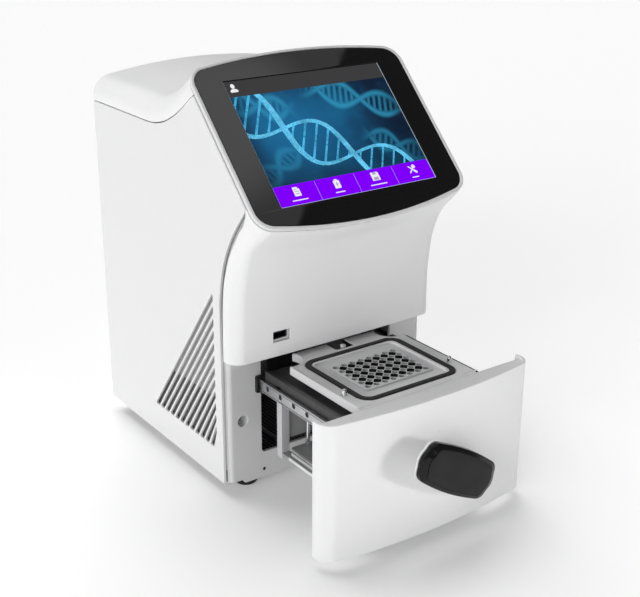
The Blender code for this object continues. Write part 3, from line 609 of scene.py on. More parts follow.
def blasted(name, colour, rough, metal):
    """Bead-blasted and anodised aluminium."""
    mat = Material(name)
    grain = mat.noise(scale=4000.0, detail=3.0, rough=0.8)
    base = mat.mix(mat.ramp(grain, over=(0.3, 0.7)), shade(colour, 0.9), shade(colour, 1.06))
    stains = mat.noise(scale=24.0, detail=4.0, over=(0.45, 0.8))
    base = mat.mix(stains, base, shade(colour, 0.75), amount=0.15)
    base = mat.mix(mat.edges(over=(0.53, 0.6)), base, shade(colour, 1.25), amount=0.35)
    mat.surface({'Base Color': base, 'Metallic': metal,
                 'Roughness': mat.noise(scale=80.0, detail=4.0, over=(0.3, 0.7),
                                        to=(rough - 0.05, rough + 0.08))})
    mat.bump((grain, 0.012))
    return mat.material


def polished(name, colour):
    mat = Material(name)
    hair = mat.noise(scale=90.0, detail=3.0, rough=0.8, stretch=(30, 30, 3))
    mat.surface({'Base Color': mat.mix(hair, shade(colour, 0.93), shade(colour, 1.04)),
                 'Metallic': 1.0,
                 'Roughness': mat.ramp(hair, over=(0.3, 0.75), to=(0.042, 0.132))})
    mat.bump((hair, 0.002))
    return mat.material


def cover_glass(name, dark, light):
    """Black print under a hard clear layer with faint wipe marks."""
    mat = Material(name)
    wipe = mat.noise(scale=26.0, detail=5.0, rough=0.7, stretch=(1.0, 2.4, 1.6))
    mat.surface({'Base Color': mat.mix(mat.noise(scale=400.0), dark, light), 'IOR': 1.52,
                 'Roughness': mat.ramp(wipe, over=(0.35, 0.8), to=(0.015, 0.05))})
    mat.bump((mat.noise(scale=14.0, detail=1.0), 0.004))
    return mat.material


def lit(name, colour, strength, cell):
    """Lit display area under a fine grid of cells."""
    mat = Material(name)
    cells = mat.cells(scale=1000.0 / cell, feature='DISTANCE_TO_EDGE')
    grid = mat.ramp(cells, over=(0.0, 0.25), to=(0.9, 1.0))
    glow = mat.mix(mat.noise(scale=60.0), shade(colour, 0.97), shade(colour, 1.03))
    mat.surface({'Base Color': (0.0, 0.0, 0.0), 'Emission Color': glow,
                 'Emission Strength': mat.times(grid, strength * 1.03),
                 'Roughness': mat.noise(scale=50.0, detail=3.0, over=(0.3, 0.7), to=(0.25, 0.35)),
                 'Specular IOR Level': 0.0})
    mat.bump((cells, 0.002))
    return mat.material


def circuit_board(name):
    """Green board: brick pattern for tracks, pale dots for pads."""
    mat = Material(name)
    tracks = mat.put('ShaderNodeTexBrick', {
        'Scale': 90.0, 'Mortar Size': 0.03, 'Color1': (0.010, 0.085, 0.035),
        'Color2': (0.014, 0.105, 0.045), 'Mortar': (0.03, 0.19, 0.08),
        'Vector': mat.stretched((1, 1, 1))}).outputs
    pads = mat.ramp(mat.cells(scale=380.0), over=(0.0, 0.16), to=(1.0, 0.0))
    mat.surface({'Base Color': mat.mix(mat.ramp(pads, over=(0.4, 0.6)), tracks['Color'],
                                       (0.55, 0.50, 0.36)),
                 'Roughness': mat.noise(scale=60.0, detail=3.0, over=(0.3, 0.7),
                                        to=(0.28, 0.42))})
    mat.bump((tracks['Fac'], 0.02), (pads, 0.02))
    return mat.material


def perforated(name, pitch):
    """Sheet with rows of round holes, darker and sunk; the pitch is in metres."""
    mat = Material(name)
    axes = mat.axes(mat.coords)
    wave_x, wave_y = (mat.math('ABSOLUTE', mat.math('SINE', mat.times(axes[axis], pi / pitch)))
                      for axis in 'XY')
    pit = mat.ramp(mat.times(wave_x, wave_y), over=(0.45, 0.60), smooth=True)
    metal = mat.mix(mat.noise(scale=90.0, detail=3.0), (0.26, 0.26, 0.265), (0.34, 0.34, 0.345))
    mat.surface({'Base Color': mat.mix(pit, metal, (0.02, 0.02, 0.02)),
                 'Specular IOR Level': 0.25,
                 'Roughness': mat.noise(scale=60.0, detail=3.0, over=(0.3, 0.7),
                                        to=(0.45, 0.6))})
    mat.bump((mat.math('SUBTRACT', 1.0, pit), 0.3))
    return mat.material


# Blurred strands of the picture: place across and down the face, angle, amplitude, wavelength,
# line width, brightness, half length; millimetres and degrees.
FAR_STRANDS = (
    (44.0, -26.0, 22.0, 12.0, 84.0, 5.6, 0.62, 64.0),
    (60.0, 26.0, 30.0, 9.0, 60.0, 5.0, 0.42, 40.0),
    (-66.0, 26.0, -30.0, 8.0, 56.0, 6.0, 0.34, 34.0),
    (-60.0, -34.0, 14.0, 10.0, 60.0, 6.5, 0.46, 40.0))


def picture(name):
    """Deep blue field with a soft light centre and out-of-focus strands, from waves."""
    mat = Material(name)
    axes = mat.axes(mat.coords)
    across = mat.times(axes['X'], 1000.0)
    # distance down the face from its centre, in millimetres
    down = mat.times(mat.math('SUBTRACT', FACE_Z * MM, axes['Z']), 1000.0 / sin(TILT))

    # light centre, given by its offsets from the face's and its radii
    centre_x = mat.math('DIVIDE', mat.plus(across, 40.0), 105.0)
    centre_y = mat.math('DIVIDE', mat.plus(down, 8.0), 66.0)
    distance = mat.math('SQRT', mat.plus(mat.times(centre_x, centre_x),
                                         mat.times(centre_y, centre_y)))
    image = mat.mix(mat.ramp(distance, over=(0.0, 1.1), smooth=True),
                    (0.006, 0.125, 0.290), (0.0006, 0.006, 0.022))
    cloud = mat.noise(scale=26.0, detail=3.0, rough=0.55, over=(0.38, 0.72), smooth=True)
    image = mat.mix(cloud, image, (0.006, 0.16, 0.34), amount=0.35)

    warp_width, rung_pitch = 16.0, 11.0
    warp = mat.times(mat.math('SUBTRACT', mat.noise(scale=9.0, detail=1.0), 0.5), warp_width)
    for mid_x, mid_y, angle, amplitude, wavelength, width, strength, half in FAR_STRANDS:
        cosine, sine = cos(radians(angle)), sin(radians(angle))
        right, below = mat.math('SUBTRACT', across, mid_x), mat.math('SUBTRACT', down, mid_y)
        along = mat.plus(mat.times(right, cosine), mat.times(below, sine))
        beside = mat.plus(mat.math('SUBTRACT', mat.times(below, cosine),
                                   mat.times(right, sine)), warp)
        wave = mat.times(mat.math('SINE', mat.times(along, 2 * pi / wavelength)), amplitude)
        fade = mat.ramp(mat.math('ABSOLUTE', along), over=(half * 0.55, half), to=(1.0, 0.0),
                        smooth=True)
        lines = []
        for sign in (1.0, -1.0):
            gap = mat.math('ABSOLUTE', mat.math('SUBTRACT', beside, mat.times(wave, sign)))
            lines.append(mat.ramp(gap, over=(0.0, width), to=(1.0, 0.0), smooth=True))
        inside = mat.math('LESS_THAN', mat.math('ABSOLUTE', beside), mat.math('ABSOLUTE', wave))
        bars = mat.math('ABSOLUTE', mat.math('SINE', mat.times(along, 2 * pi / rung_pitch)))
        bars = mat.ramp(bars, over=(0.45, 1.0), to=(0.0, 0.7), smooth=True)
        band = mat.math('MAXIMUM', mat.math('MAXIMUM', *lines), mat.times(inside, bars))
        image = mat.mix(mat.times(band, fade), image, (0.03, 0.34, 0.56), amount=strength)

    spark = mat.ramp(mat.cells(scale=240.0), over=(0.0, 0.10), to=(1.0, 0.0))
    near = mat.math('GREATER_THAN', mat.noise(scale=34.0), 0.60)
    image = mat.mix(mat.times(spark, near), image, (0.25, 0.75, 0.9), amount=0.45)
    sides = mat.ramp(mat.math('ABSOLUTE', across), over=(62.0, 84.0), to=(0.0, 0.65), smooth=True)
    image = mat.mix(sides, image, (0.0008, 0.004, 0.014))
    foot = mat.ramp(down, over=(18.0, 44.0), to=(0.0, 0.45), smooth=True)
    mat.surface({'Base Color': (0.004, 0.01, 0.02),
                 'Emission Color': mat.mix(foot, image, (0.002, 0.03, 0.07)),
                 'Emission Strength': 1.0, 'Specular IOR Level': 0.1,
                 'Roughness': mat.noise(scale=40.0, detail=3.0, over=(0.3, 0.7),
                                        to=(0.25, 0.35))})
    mat.bump((mat.cells(scale=3500.0, feature='DISTANCE_TO_EDGE'), 0.002))
    return mat.material


def glowing_strand(name, bright, dim):
    """Glow that is brighter towards the outline."""
    mat = Material(name)
    facing = mat.put('ShaderNodeLayerWeight', {'Blend': 0.35}).outputs['Facing']
    speck = mat.noise(scale=900.0, detail=4.0, rough=0.8, over=(0.35, 0.7))
    outline = mat.times(mat.ramp(facing, over=(0.25, 0.75), smooth=True), 0.65)
    glow = mat.mix(mat.plus(outline, mat.times(speck, 0.45)), dim, bright)
    mat.surface({'Base Color': (0.0, 0.02, 0.04), 'Emission Color': glow,
                 'Emission Strength': mat.noise(scale=70.0, detail=3.0, over=(0.3, 0.7),
                                                to=(0.75, 1.55)),
                 'Specular IOR Level': 0.0, 'Roughness': 0.5})
    mat.bump((speck, 0.02))
    return mat.material


# Colour, roughness, grain size and depth in mm, tone drift, dust; some also have gloss,
# edge wear and worn colour.
PLASTICS = {
    "white_shell": ((0.86, 0.86, 0.865), 0.34, 0.45, 0.010, 0.008, 0.02),
    # the side panels' white is darker than the shell's: painted shade on the brightly lit sides
    "white_panel": ((0.785, 0.785, 0.79), 0.38, 0.45, 0.010, 0.008, 0.02),
    # the tray's white is greyer than the shell's: partly a greyer plastic, partly painted shade
    # from the head above it
    "tray_white": ((0.72, 0.72, 0.725), 0.38, 0.40, 0.012, 0.015, 0.04),
    # the shelf's darker white is painted shade on the drawer's upward faces
    "shelf_white": ((0.67, 0.67, 0.675), 0.36, 0.45, 0.010, 0.010, 0.03),
    "grey_trim": ((0.56, 0.56, 0.565), 0.40, 0.40, 0.012, 0.02, 0.04),
    # the frame's grey is painted shade: the frame is the shell's white plastic in the hood's
    # shadow
    "frame_grey": ((0.68, 0.68, 0.685), 0.42, 0.45, 0.014, 0.02, 0.03),
    "rim_grey": ((0.74, 0.74, 0.745), 0.30, 0.40, 0.008, 0.015, 0.02),
    "black_plastic": ((0.018, 0.018, 0.019), 0.42, 0.30, 0.016, 0.12, 0.03,
                      0.5, 0.25, (0.10, 0.10, 0.105)),
    "satin_black": ((0.050, 0.050, 0.051), 0.45, 0.25, 0.006, 0.08, 0.02,
                    0.5, 0.2, (0.07, 0.07, 0.072)),
    "pad_gloss": ((0.005, 0.005, 0.005), 0.16, 0.25, 0.003, 0.08, 0.01,
                  0.28, 0.15, (0.03, 0.03, 0.03)),
    "pad_black": ((0.013, 0.013, 0.0135), 0.60, 0.28, 0.014, 0.06, 0.02, 0.35),
    "rail_slot": ((0.010, 0.010, 0.010), 0.5, 0.3, 0.01, 0.1, 0.0),
    # near black painted shade for the walls of the block's pockets
    "dark_insert": ((0.006, 0.006, 0.006), 0.55, 0.3, 0.02, 0.1, 0.0),
    "ceramic": ((0.72, 0.72, 0.69), 0.55, 0.2, 0.02, 0.03, 0.03)}
RUBBERS = {"rubber_black": ((0.017, 0.017, 0.018),), "foot_rubber": ((0.012, 0.012, 0.012),)}
# Colour, roughness.
PAINTS = {
    "coated_sheet": ((0.30, 0.30, 0.305), 0.5),
    "coated_light": ((0.34, 0.34, 0.345), 0.5),
    "dark_sheet": ((0.045, 0.045, 0.048), 0.5),
    # the vent sheets carry painted light (upper) and painted shade (lower), seen through the slots
    "vent_pale": ((0.27, 0.27, 0.273), 0.55),
    "vent_dark": ((0.10, 0.10, 0.101), 0.55)}
# Colour, roughness, metallic share.
BLASTED = {
    "aluminium": ((0.62, 0.63, 0.64), 0.36, 1.0),
    "block_aluminium": ((0.72, 0.725, 0.73), 0.45, 0.35),
    # grey painted shade for the walls of the block's wells
    "well_wall": ((0.42, 0.42, 0.425), 0.5, 0.2),
    "leg_aluminium": ((0.62, 0.62, 0.63), 0.5, 0.25),
    "lip_aluminium": ((0.80, 0.80, 0.81), 0.45, 0.3)}
# Colour, roughness, noise scale per axis (small along the brush lines).
BRUSHED = {
    "bare_steel": ((0.52, 0.52, 0.54), 0.32, (1, 60, 60)),
    "rail_metal": ((0.58, 0.58, 0.59), 0.34, (60, 1, 60)),
    "socket_metal": ((0.10, 0.10, 0.105), 0.36, (1, 60, 60))}
# Colour, strength, cell size in mm.
LIT = {
    "display_header": ((0.050, 0.050, 0.052), 0.95, 0.28),
    "display_buttons": ((0.215, 0.0, 1.0), 1.0, 0.28),
    "display_icon": ((0.92, 0.92, 0.92), 0.95, 0.5),
    "display_icon_grey": ((0.42, 0.40, 0.50), 0.95, 0.5),
    "display_divider": ((0.55, 0.42, 1.0), 0.8, 0.5),
    "display_edge": ((0.55, 0.66, 0.78), 0.9, 0.5)}
# Bright and dim colour.
STRANDS = {
    "picture_strand": ((0.42, 1.0, 1.0), (0.012, 0.26, 0.52)),
    "picture_rung": ((0.24, 0.86, 1.0), (0.01, 0.22, 0.46))}
for make, table in (
        (plastic, PLASTICS), (rubber, RUBBERS), (painted, PAINTS), (blasted, BLASTED),
        (brushed, BRUSHED), (lit, LIT), (glowing_strand, STRANDS),
        (polished, {"chrome": ((0.88, 0.88, 0.89),)}),
        (cover_glass, {"touch_glass": ((0.0035, 0.0035, 0.0037), (0.0055, 0.0055, 0.0058))}),
        (circuit_board, {"circuit_board": ()}), (perforated, {"perforated_black": (0.0042,)}),
        (picture, {"display_picture": ()})):
    for key, values in table.items():
        FINISH[key] = make(key, *values)

# ===========================================================================
# body shells
# ===========================================================================
SEAM_Z, WALL, PANEL_Z0, HOOD_Z0 = 321.0, 2.8, 12.0, 134.2
SEAM_DOWN, EDGE_DOWN, HEAD_BACK = -54.5, 53.6, -3.9     # where the shells meet the tilted head
CROWN_H = 30.6
BEZEL_HW, BEZEL_TOP, BEZEL_TOP_EDGE = 109.6, 85.4, 78.0
BEZEL_BOTTOM, BEZEL_BOTTOM_EDGE, BEZEL_R = 88.0, 79.0, 18.0

# (y, z) stations from the side. Panel front edge, going up:
PANEL_FRONT = [
    (0.0, 165.5), (-0.5, 186.6), (-2.8, 201.8), (-6.4, 217.2), (-12.6, 233.1),
    (-21.3, 248.4), (-30.7, 261.7), (-42.3, 275.7)]
# Rear edge of the hood, and the front of the hood at the same stations, going up:
HOOD_EDGE = [
    (-5.0, HOOD_Z0), (-5.0, 150.0), (-5.2, 160.0), (-6.0, 182.0), (-8.4, 203.6), (-12.0, 216.5),
    (-17.5, 230.8), (-24.6, 243.2), (-33.4, 256.8), (-41.4, 267.8)]
HOOD_FRONT = [
    (-22.6, HOOD_Z0), (-22.3, 150.0), (-22.8, 165.0), (-24.6, 185.0), (-28.2, 205.0),
    (-32.3, 218.0), (-38.0, 229.5), (-45.0, 238.8), (-55.2, 246.8), (-64.6, 253.4)]
# Seam between panels and top cover, and the cover's crest at the same stations, going back:
SEAM = [
    (39.3, 352.9), (50.5, 344.1), (62.0, 336.7), (73.0, 330.8), (85.0, 325.8), (99.0, 322.3),
    (111.0, SEAM_Z), (144.0, SEAM_Z), (182.0, SEAM_Z), (DEPTH, SEAM_Z)]
CREST = [
    (58.4, 375.6), (68.5, 368.3), (79.0, 362.0), (90.0, 357.2), (101.5, 353.6), (113.0, 351.8),
    (123.0, 351.5), (150.0, 351.6), (185.0, 351.6), (DEPTH, 351.6)]
# Rear edge of the trim channel going up, then its front edge going down:
GROOVE_REAR = [
    (3.5, 165.0), (2.8, 187.5), (0.6, 203.0), (-3.0, 218.6), (-9.2, 234.8), (-17.6, 250.2),
    (-27.0, 263.5), (-35.5, 273.6)]
GROOVE_FRONT = [
    (-40.0, 271.0), (-32.5, 261.5), (-23.5, 248.5), (-15.5, 234.5), (-9.6, 219.5), (-5.4, 203.8),
    (-3.2, 188.5), (-1.2, 174.0)]
GROOVE_Z0 = 24.6

# side panels with slanting vents: the front ends step down, the lower ends step forwards
VENT_COUNT, VENT_Y, VENT_TOP, VENT_STEP_Z, VENT_H = 12, 10.6, 192.9, 11.45, 7.6
VENT_Z, VENT_REAR, VENT_STEP_Y, VENT_LENGTH = 42.8, 124.7, 9.28, 6.6
panel_low = on_face(0, EDGE_DOWN - 0.3, HEAD_BACK)
panel_high = on_face(0, SEAM_DOWN + 0.4, HEAD_BACK)
panel = ([(0.0, PANEL_Z0)] + spline(PANEL_FRONT + [(panel_low.y, panel_low.z)])
         + [(panel_high.y, panel_high.z)] + [(y, z - 0.4) for y, z in spline(SEAM[:8])]
         + [(DEPTH, SEAM_Z - 0.4), (DEPTH, PANEL_Z0)])
panel = fillet(panel, 1.2, 4, 30.0)
slots = []
for i in range(VENT_COUNT):
    z, y = VENT_TOP - VENT_STEP_Z * i, VENT_REAR - VENT_STEP_Y * i
    slots.append(fillet([(VENT_Y, z), (VENT_Y, z - VENT_H), (y - VENT_LENGTH, VENT_Z),
                         (y, VENT_Z)], 0.9))
# the side panels take the darker white, painted shade on the lit sides
for tag, side in SIDES:
    piece("side_panel_shell_" + tag,
          plate([panel] + slots, *on_side(side, HALF_W, HALF_W - WALL), 'YZ', 0.55),
          "white_panel", "white_shell", "side_panel_" + tag)

# trim channels in the shadow gap between side panels and hood
groove = ([(3.5, GROOVE_Z0)] + spline(GROOVE_REAR, 5) + spline(GROOVE_FRONT, 5)
          + [(-1.2, GROOVE_Z0)])
for tag, side in SIDES:
    piece("trim_strip_" + tag,
          joined([plate([groove], *on_side(side, 104.2, 106.7), 'YZ', 0.25, 2),
                  block(on_side(side, 106.5, 107.65), (0.5, 3.4), (24.9, 133.0), 0.2)]),
          "grey_trim", stands_for="trim_channel_" + tag)


def crown_profile(half_width):
    return bowed_u(half_width, 0.4, CROWN_H, CROWN_H - 7.6, 19.0, 14, 18)


def station(profile, origin, direction):
    """Lays a profile across x and along a direction."""
    return [Vector((x, 0, 0)) + origin + direction * y for x, y in profile]


SPAN_STEPS = 5

# top cover: from the tilted head to the rear
cover_foot, cover_head = on_face(0, SEAM_DOWN, HEAD_BACK), on_face(0, -BEZEL_TOP, HEAD_BACK)
stations = [(*cover_foot.yz, *cover_head.yz)] + [seam + top for seam, top in zip(SEAM, CREST)]
rows = []
for i, (foot_y, foot_z, head_y, head_z) in enumerate(spline(stations, SPAN_STEPS)):
    foot, head = Vector((0, foot_y, foot_z)), Vector((0, head_y, head_z))
    half_width = BEZEL_HW + (HALF_W - BEZEL_HW) * min(1.0, i / SPAN_STEPS / 3.0)
    rows.append(station(crown_profile(half_width), foot, (head - foot) / CROWN_H))
piece("top_cover_shell", combine(sheet(rows), wall=WALL), "white_shell", stands_for="top_cover",
      angle=50.0, bevel=0.5)

# front hood: from its lower edge up to the tilted head, with a window for the USB socket
USB_X, USB_Z = (-70.3, -52.0), (147.2, 157.4)
hood_rear, hood_front = on_face(0, EDGE_DOWN + 0.3, HEAD_BACK), on_face(0, BEZEL_BOTTOM, HEAD_BACK)
stations = [edge + front for edge, front in zip(HOOD_EDGE, HOOD_FRONT)]
stations.append((*hood_rear.yz, *hood_front.yz))
rows = []
for i, (rear_y, rear_z, front_y, front_z) in enumerate(spline(stations, SPAN_STEPS)):
    rear, front = Vector((0, rear_y, rear_z)), Vector((0, front_y, front_z))
    rise = i / SPAN_STEPS / len(HOOD_FRONT)
    reach = (front - rear).length
    bow = 1.3 + (BEZEL_BOTTOM - BEZEL_BOTTOM_EDGE - 1.3) * rise ** 1.5
    radius = min(14.0 + 4.0 * rise, reach - bow - 0.6)
    half_width = HALF_W + (BEZEL_HW - HALF_W) * rise ** 3
    profile = bowed_u(half_width, 0.0, reach, reach - bow, radius, 24, 18, 7.0)
    rows.append(station(profile, rear, (front - rear) / reach))
window = plate([rounded(*USB_X, *USB_Z, 0.7, 4)], -30.0, -12.0, 'XZ', 0.0)
piece("front_hood_shell", combine(combine(sheet(rows), wall=WALL), window), "white_shell",
      stands_for="front_hood", angle=5.2, bevel=0.45)

# USB socket: bent shell, tongue, four contacts and the liner of its window
piece("usb_shell",
      joined([plate([rounded(-69.4, -55.2, 149.6, 156.4, 0.8, 4),
                     rounded(-68.9, -55.7, 150.1, 155.9, 0.5, 4)], -18.8, -6.0, 'XZ', 0.12, 2),
              plate([rounded(-69.3, -55.3, 149.7, 156.3, 0.8, 4)], -7.2, -6.1, 'XZ', 0.1, 2)]),
      "socket_metal", "bare_steel", "usb_port")
piece("usb_tongue", block((-68.0, -56.6), (-16.2, -7.4), (153.4, 155.3), 0.3), "black_plastic")
piece("usb_contacts",
      joined([block((-66.9 + 2.5 * i, -65.3 + 2.5 * i), (-15.9, -9.0), (153.1, 153.5), 0.1, 2)
              for i in range(4)]), "socket_metal", "bare_steel")
piece("usb_window_liner",
      plate([rounded(USB_X[0] + 0.15, USB_X[1] - 0.15, USB_Z[0] + 0.15, USB_Z[1] - 0.15, 0.7, 4),
             rounded(-69.8, -53.8, 148.7, 156.9, 0.6, 4)], -18.6, -15.6, 'XZ', 0.1, 2),
      "tray_white", "grey_trim")

# ===========================================================================
# front frame: opening notched for the slides, round cups and screws at both sides
# ===========================================================================
FRAME_Y0, FRAME_Y1 = -4.5, -1.5
OPEN_HW, OPEN_Z0, OPEN_R = 72.5, 34.0, 4.0
NOTCH_HW, NOTCH_Z0, NOTCH_Z1 = 77.5, 97.3, 110.6
CUP_X, CUP_Z, SCREW_X, SCREW_Z = 92.0, 71.3, 70.0, 16.5
frame_outline = fillet([(-106.5, 12.0), (-91.0, 12.0), (-91.0, 8.3), (91.0, 8.3), (91.0, 12.0),
                        (106.5, 12.0), (106.5, 170.0), (-106.5, 170.0)], 1.0)
open_half = (arc(OPEN_HW - OPEN_R, OPEN_Z0 + OPEN_R, OPEN_R, 270, 360, 8)
             + [(OPEN_HW, NOTCH_Z0), (NOTCH_HW, NOTCH_Z0), (NOTCH_HW, NOTCH_Z1),
                (OPEN_HW, NOTCH_Z1), (OPEN_HW, 160.0)])
opening = fillet(open_half + [(-x, z) for x, z in reversed(open_half)], 0.8, 4, 40.0)


def broad_sides(points, distance):
    """Rounds the two long sides far more than the top and bottom edge."""
    less = min(distance, 0.45)
    return [(x - distance * (1 if x > 0 else -1) if abs(x) > 100.0 else x,
             z - less * (1 if z > 90 else -1)) for x, z in points]


frame_holes = ([circle(side * CUP_X, CUP_Z, 5.25, 40) for _, side in SIDES]
               + [circle(side * SCREW_X, SCREW_Z, 1.7, 24) for _, side in SIDES])
# the frame and its cups are grey as painted shade under the hood's overhang
piece("front_frame_panel",
      plate([frame_outline, opening] + frame_holes, FRAME_Y0, FRAME_Y1, 'XZ', 0.2, 5, low=0.45,
            rim=(4.4, broad_sides)), "frame_grey", "grey_trim", "front_frame")
CUP_PROFILE = [
    (0, 7.4), (6.4, 7.4), (6.6, 7.2), (6.6, -1.35), (5.5, -1.35), (5.3, -1.1), (5.2, 2.4),
    (4.9, 2.8), (3.3, 2.8), (3.1, 3.0), (3.0, 6.4), (0, 6.4)]     # (radius, y)
for tag, side in SIDES:
    piece("frame_cup_" + tag, lathe(CUP_PROFILE, (side * CUP_X, CUP_Z), 'XZ'),
          "frame_grey", "grey_trim")
    x = side * SCREW_X
    socket = arc(x, SCREW_Z, 0.75, 15, 315, 5)
    piece("frame_screw_" + tag,
          joined([plate([circle(x, SCREW_Z, 1.55, 28), socket], -4.1, -3.0, 'XZ', 0.2),
                  rod(x, SCREW_Z, 1.45, -2.95, 2.0, 0.2, 24)]), "black_plastic", "bare_steel")

# ===========================================================================
# tilted head: rim, cover glass, display
# ===========================================================================
bezel_loop = bowed_outline(BEZEL_HW, BEZEL_TOP, BEZEL_TOP_EDGE, BEZEL_BOTTOM, BEZEL_BOTTOM_EDGE,
                           BEZEL_R)
glass_loop = bowed_outline(106.7, 83.0, 76.0, 85.8, 76.5, 15.6)
piece("head_rim", plate([bezel_loop, glass_loop], -3.0, 0.5, FACE, 0.7, 4, low=0.3),
      "rim_grey", "grey_trim", "head_bezel")
piece("cover_glass",
      plate([inset(clean(glass_loop), 0.3), rounded(-81.0, 81.0, -61.4, 61.4, 0.6, 4)],
            -2.8, 0.0, FACE), "touch_glass", stands_for="touch_glass")
piece("display_housing", plate([rounded(-88.0, 88.0, -68.0, 70.0, 3.0)], -9.0, -3.2, FACE, 0.5),
      "dark_sheet", "display", "display_module")

# Lower and upper level of the screen's layers, out of the face.
LIT_Z0, LIT_Z1 = -1.3, -0.62
LIT_LAYER = (LIT_Z0, LIT_Z1)
ICON_LAYER = (LIT_Z1 - 0.1, LIT_Z1 + 0.16)
MARK_LAYER = (ICON_LAYER[1] - 0.05, ICON_LAYER[1] + 0.08)
SCREEN_HW, BUTTON_PITCH, ICON_DOWN = 80.6, 40.3, 49.2
ICON_X = [(i - 1.5) * BUTTON_PITCH for i in range(4)]


def screen_part(name, finish, layer, shapes, edge=0.06):
    meshes = [plate([shape], *layer, FACE, edge, 2) for shape in shapes]
    return piece(name, joined(meshes), finish, "display")


def rect(left, right, top, bottom, radius=0.2):
    """Rectangle on the face, measured downwards."""
    return rounded(left, right, -bottom, -top, radius, 3)


def icon_rect(i, left, right, top, bottom, radius=0.2):
    """Rectangle measured from the centre of an icon."""
    return rect(ICON_X[i] + left, ICON_X[i] + right, ICON_DOWN + top, ICON_DOWN + bottom, radius)


def icon_shape(i, points, radius):
    """Filleted shape from (right, up) offsets to an icon's centre."""
    return fillet([(ICON_X[i] + x, -ICON_DOWN + y) for x, y in points], radius)


screen_part("screen_header", "display_header", LIT_LAYER,
            [rect(-SCREEN_HW, SCREEN_HW, -60.9, -45.6)])
screen_part("screen_picture", "display_picture", LIT_LAYER,
            [rect(-SCREEN_HW, SCREEN_HW, -45.5, 42.0)])
screen_part("screen_buttons", "display_buttons", LIT_LAYER,
            [rect(x + 0.12, x + 40.18, 42.1, 60.9)
             for x in [(i - 2) * BUTTON_PITCH for i in range(4)]])
screen_part("screen_dividers", "display_divider", (LIT_Z1 - 0.1, LIT_Z1 + 0.08),
            [rect(x - 0.13, x + 0.13, 43.0, 60.5, 0.1)
             for x in (-BUTTON_PITCH, 0.0, BUTTON_PITCH)], edge=0.03)
screen_part("screen_edge_line", "display_edge", (LIT_Z0, LIT_Z1 + 0.05),
            [rect(-81.0, -80.65, -61.0, 61.3, 0.1), rect(80.65, 81.0, -61.0, 61.3, 0.1),
             rect(-SCREEN_HW, SCREEN_HW, 60.95, 61.35, 0.1)], edge=0.04)

user_head = [(-73.6 + 1.9 * x, 55.9 + 2.3 * y) for x, y in circle(0, 0, 1, 28)]
user_shoulders = [
    (-77.4, 50.6), (-77.2, 51.8), (-76.2, 52.8), (-74.8, 53.3), (-72.4, 53.3), (-71.0, 52.8),
    (-70.0, 51.8), (-69.8, 50.6), (-70.6, 50.0), (-76.6, 50.0)]
screen_part("icon_user", "display_icon", ICON_LAYER, [user_head, user_shoulders])
screen_part("icon_page", "display_icon", ICON_LAYER,
            [icon_shape(0, [(-3.1, -4.2), (3.1, -4.2), (3.1, 2.2), (1.1, 4.2), (-3.1, 4.2)], 0.4)])
screen_part("icon_page_lines", "display_icon_grey", MARK_LAYER,
            [icon_rect(0, -2.0, 0.2, -2.4, -1.7), icon_rect(0, -2.0, 2.0, -0.4, 0.3),
             icon_rect(0, -2.0, 2.0, 1.7, 2.4),
             icon_shape(0, [(1.2, 2.3), (2.7, 2.3), (1.2, 3.8)], 0.1)], edge=0.03)
screen_part("icon_clipboard", "display_icon", ICON_LAYER,
            [icon_rect(1, -3.0, 3.0, -3.2, 4.2, 0.5), icon_rect(1, -1.4, 1.4, -4.4, -2.9, 0.4)])
screen_part("icon_clipboard_mark", "display_icon_grey", MARK_LAYER,
            [icon_rect(1, -0.4, 0.4, -1.8, 2.6), icon_rect(1, -1.6, 1.6, 0.0, 0.8)], edge=0.03)
screen_part("icon_disk", "display_icon", ICON_LAYER,
            [icon_shape(2, [(-4.0, -4.0), (4.0, -4.0), (4.0, 3.0), (3.0, 4.0), (-4.0, 4.0)], 0.5)])
screen_part("icon_disk_marks", "display_icon_grey", MARK_LAYER,
            [icon_rect(2, -2.4, 2.4, 0.8, 3.6), icon_rect(2, -1.8, 1.4, -3.9, -1.6)], edge=0.03)


def icon_bar(length, width, angle, offset=0.0):
    """Slanting bar of the tools icon, moved right and down by the offset."""
    bar = rounded(-length / 2, length / 2, -width / 2, width / 2, width * 0.45, 4)
    return turned(bar, angle, ICON_X[3] + offset, -(ICON_DOWN + offset))


JAW_OFFSET = 3.4 * cos(radians(45))
jaw = arc(0, 0, 1.9, 20, 340, 20) + arc(0, 0, 0.9, 320, 40, 14)
screen_part("icon_tools", "display_icon", ICON_LAYER,
            [icon_bar(10.2, 1.1, 45), icon_bar(9.0, 1.1, -45), icon_bar(4.2, 2.0, -45, 2.5),
             turned(jaw, 45, ICON_X[3] + JAW_OFFSET, -ICON_DOWN + JAW_OFFSET)])
screen_part("screen_label_bars", "display_icon", (ICON_LAYER[0], ICON_LAYER[1] - 0.06),
            [rect(x - half, x + half, 56.6, 57.5, 0.3)
             for x, half in zip(ICON_X, (7.6, 4.8, 8.6, 3.6))], edge=0.04)


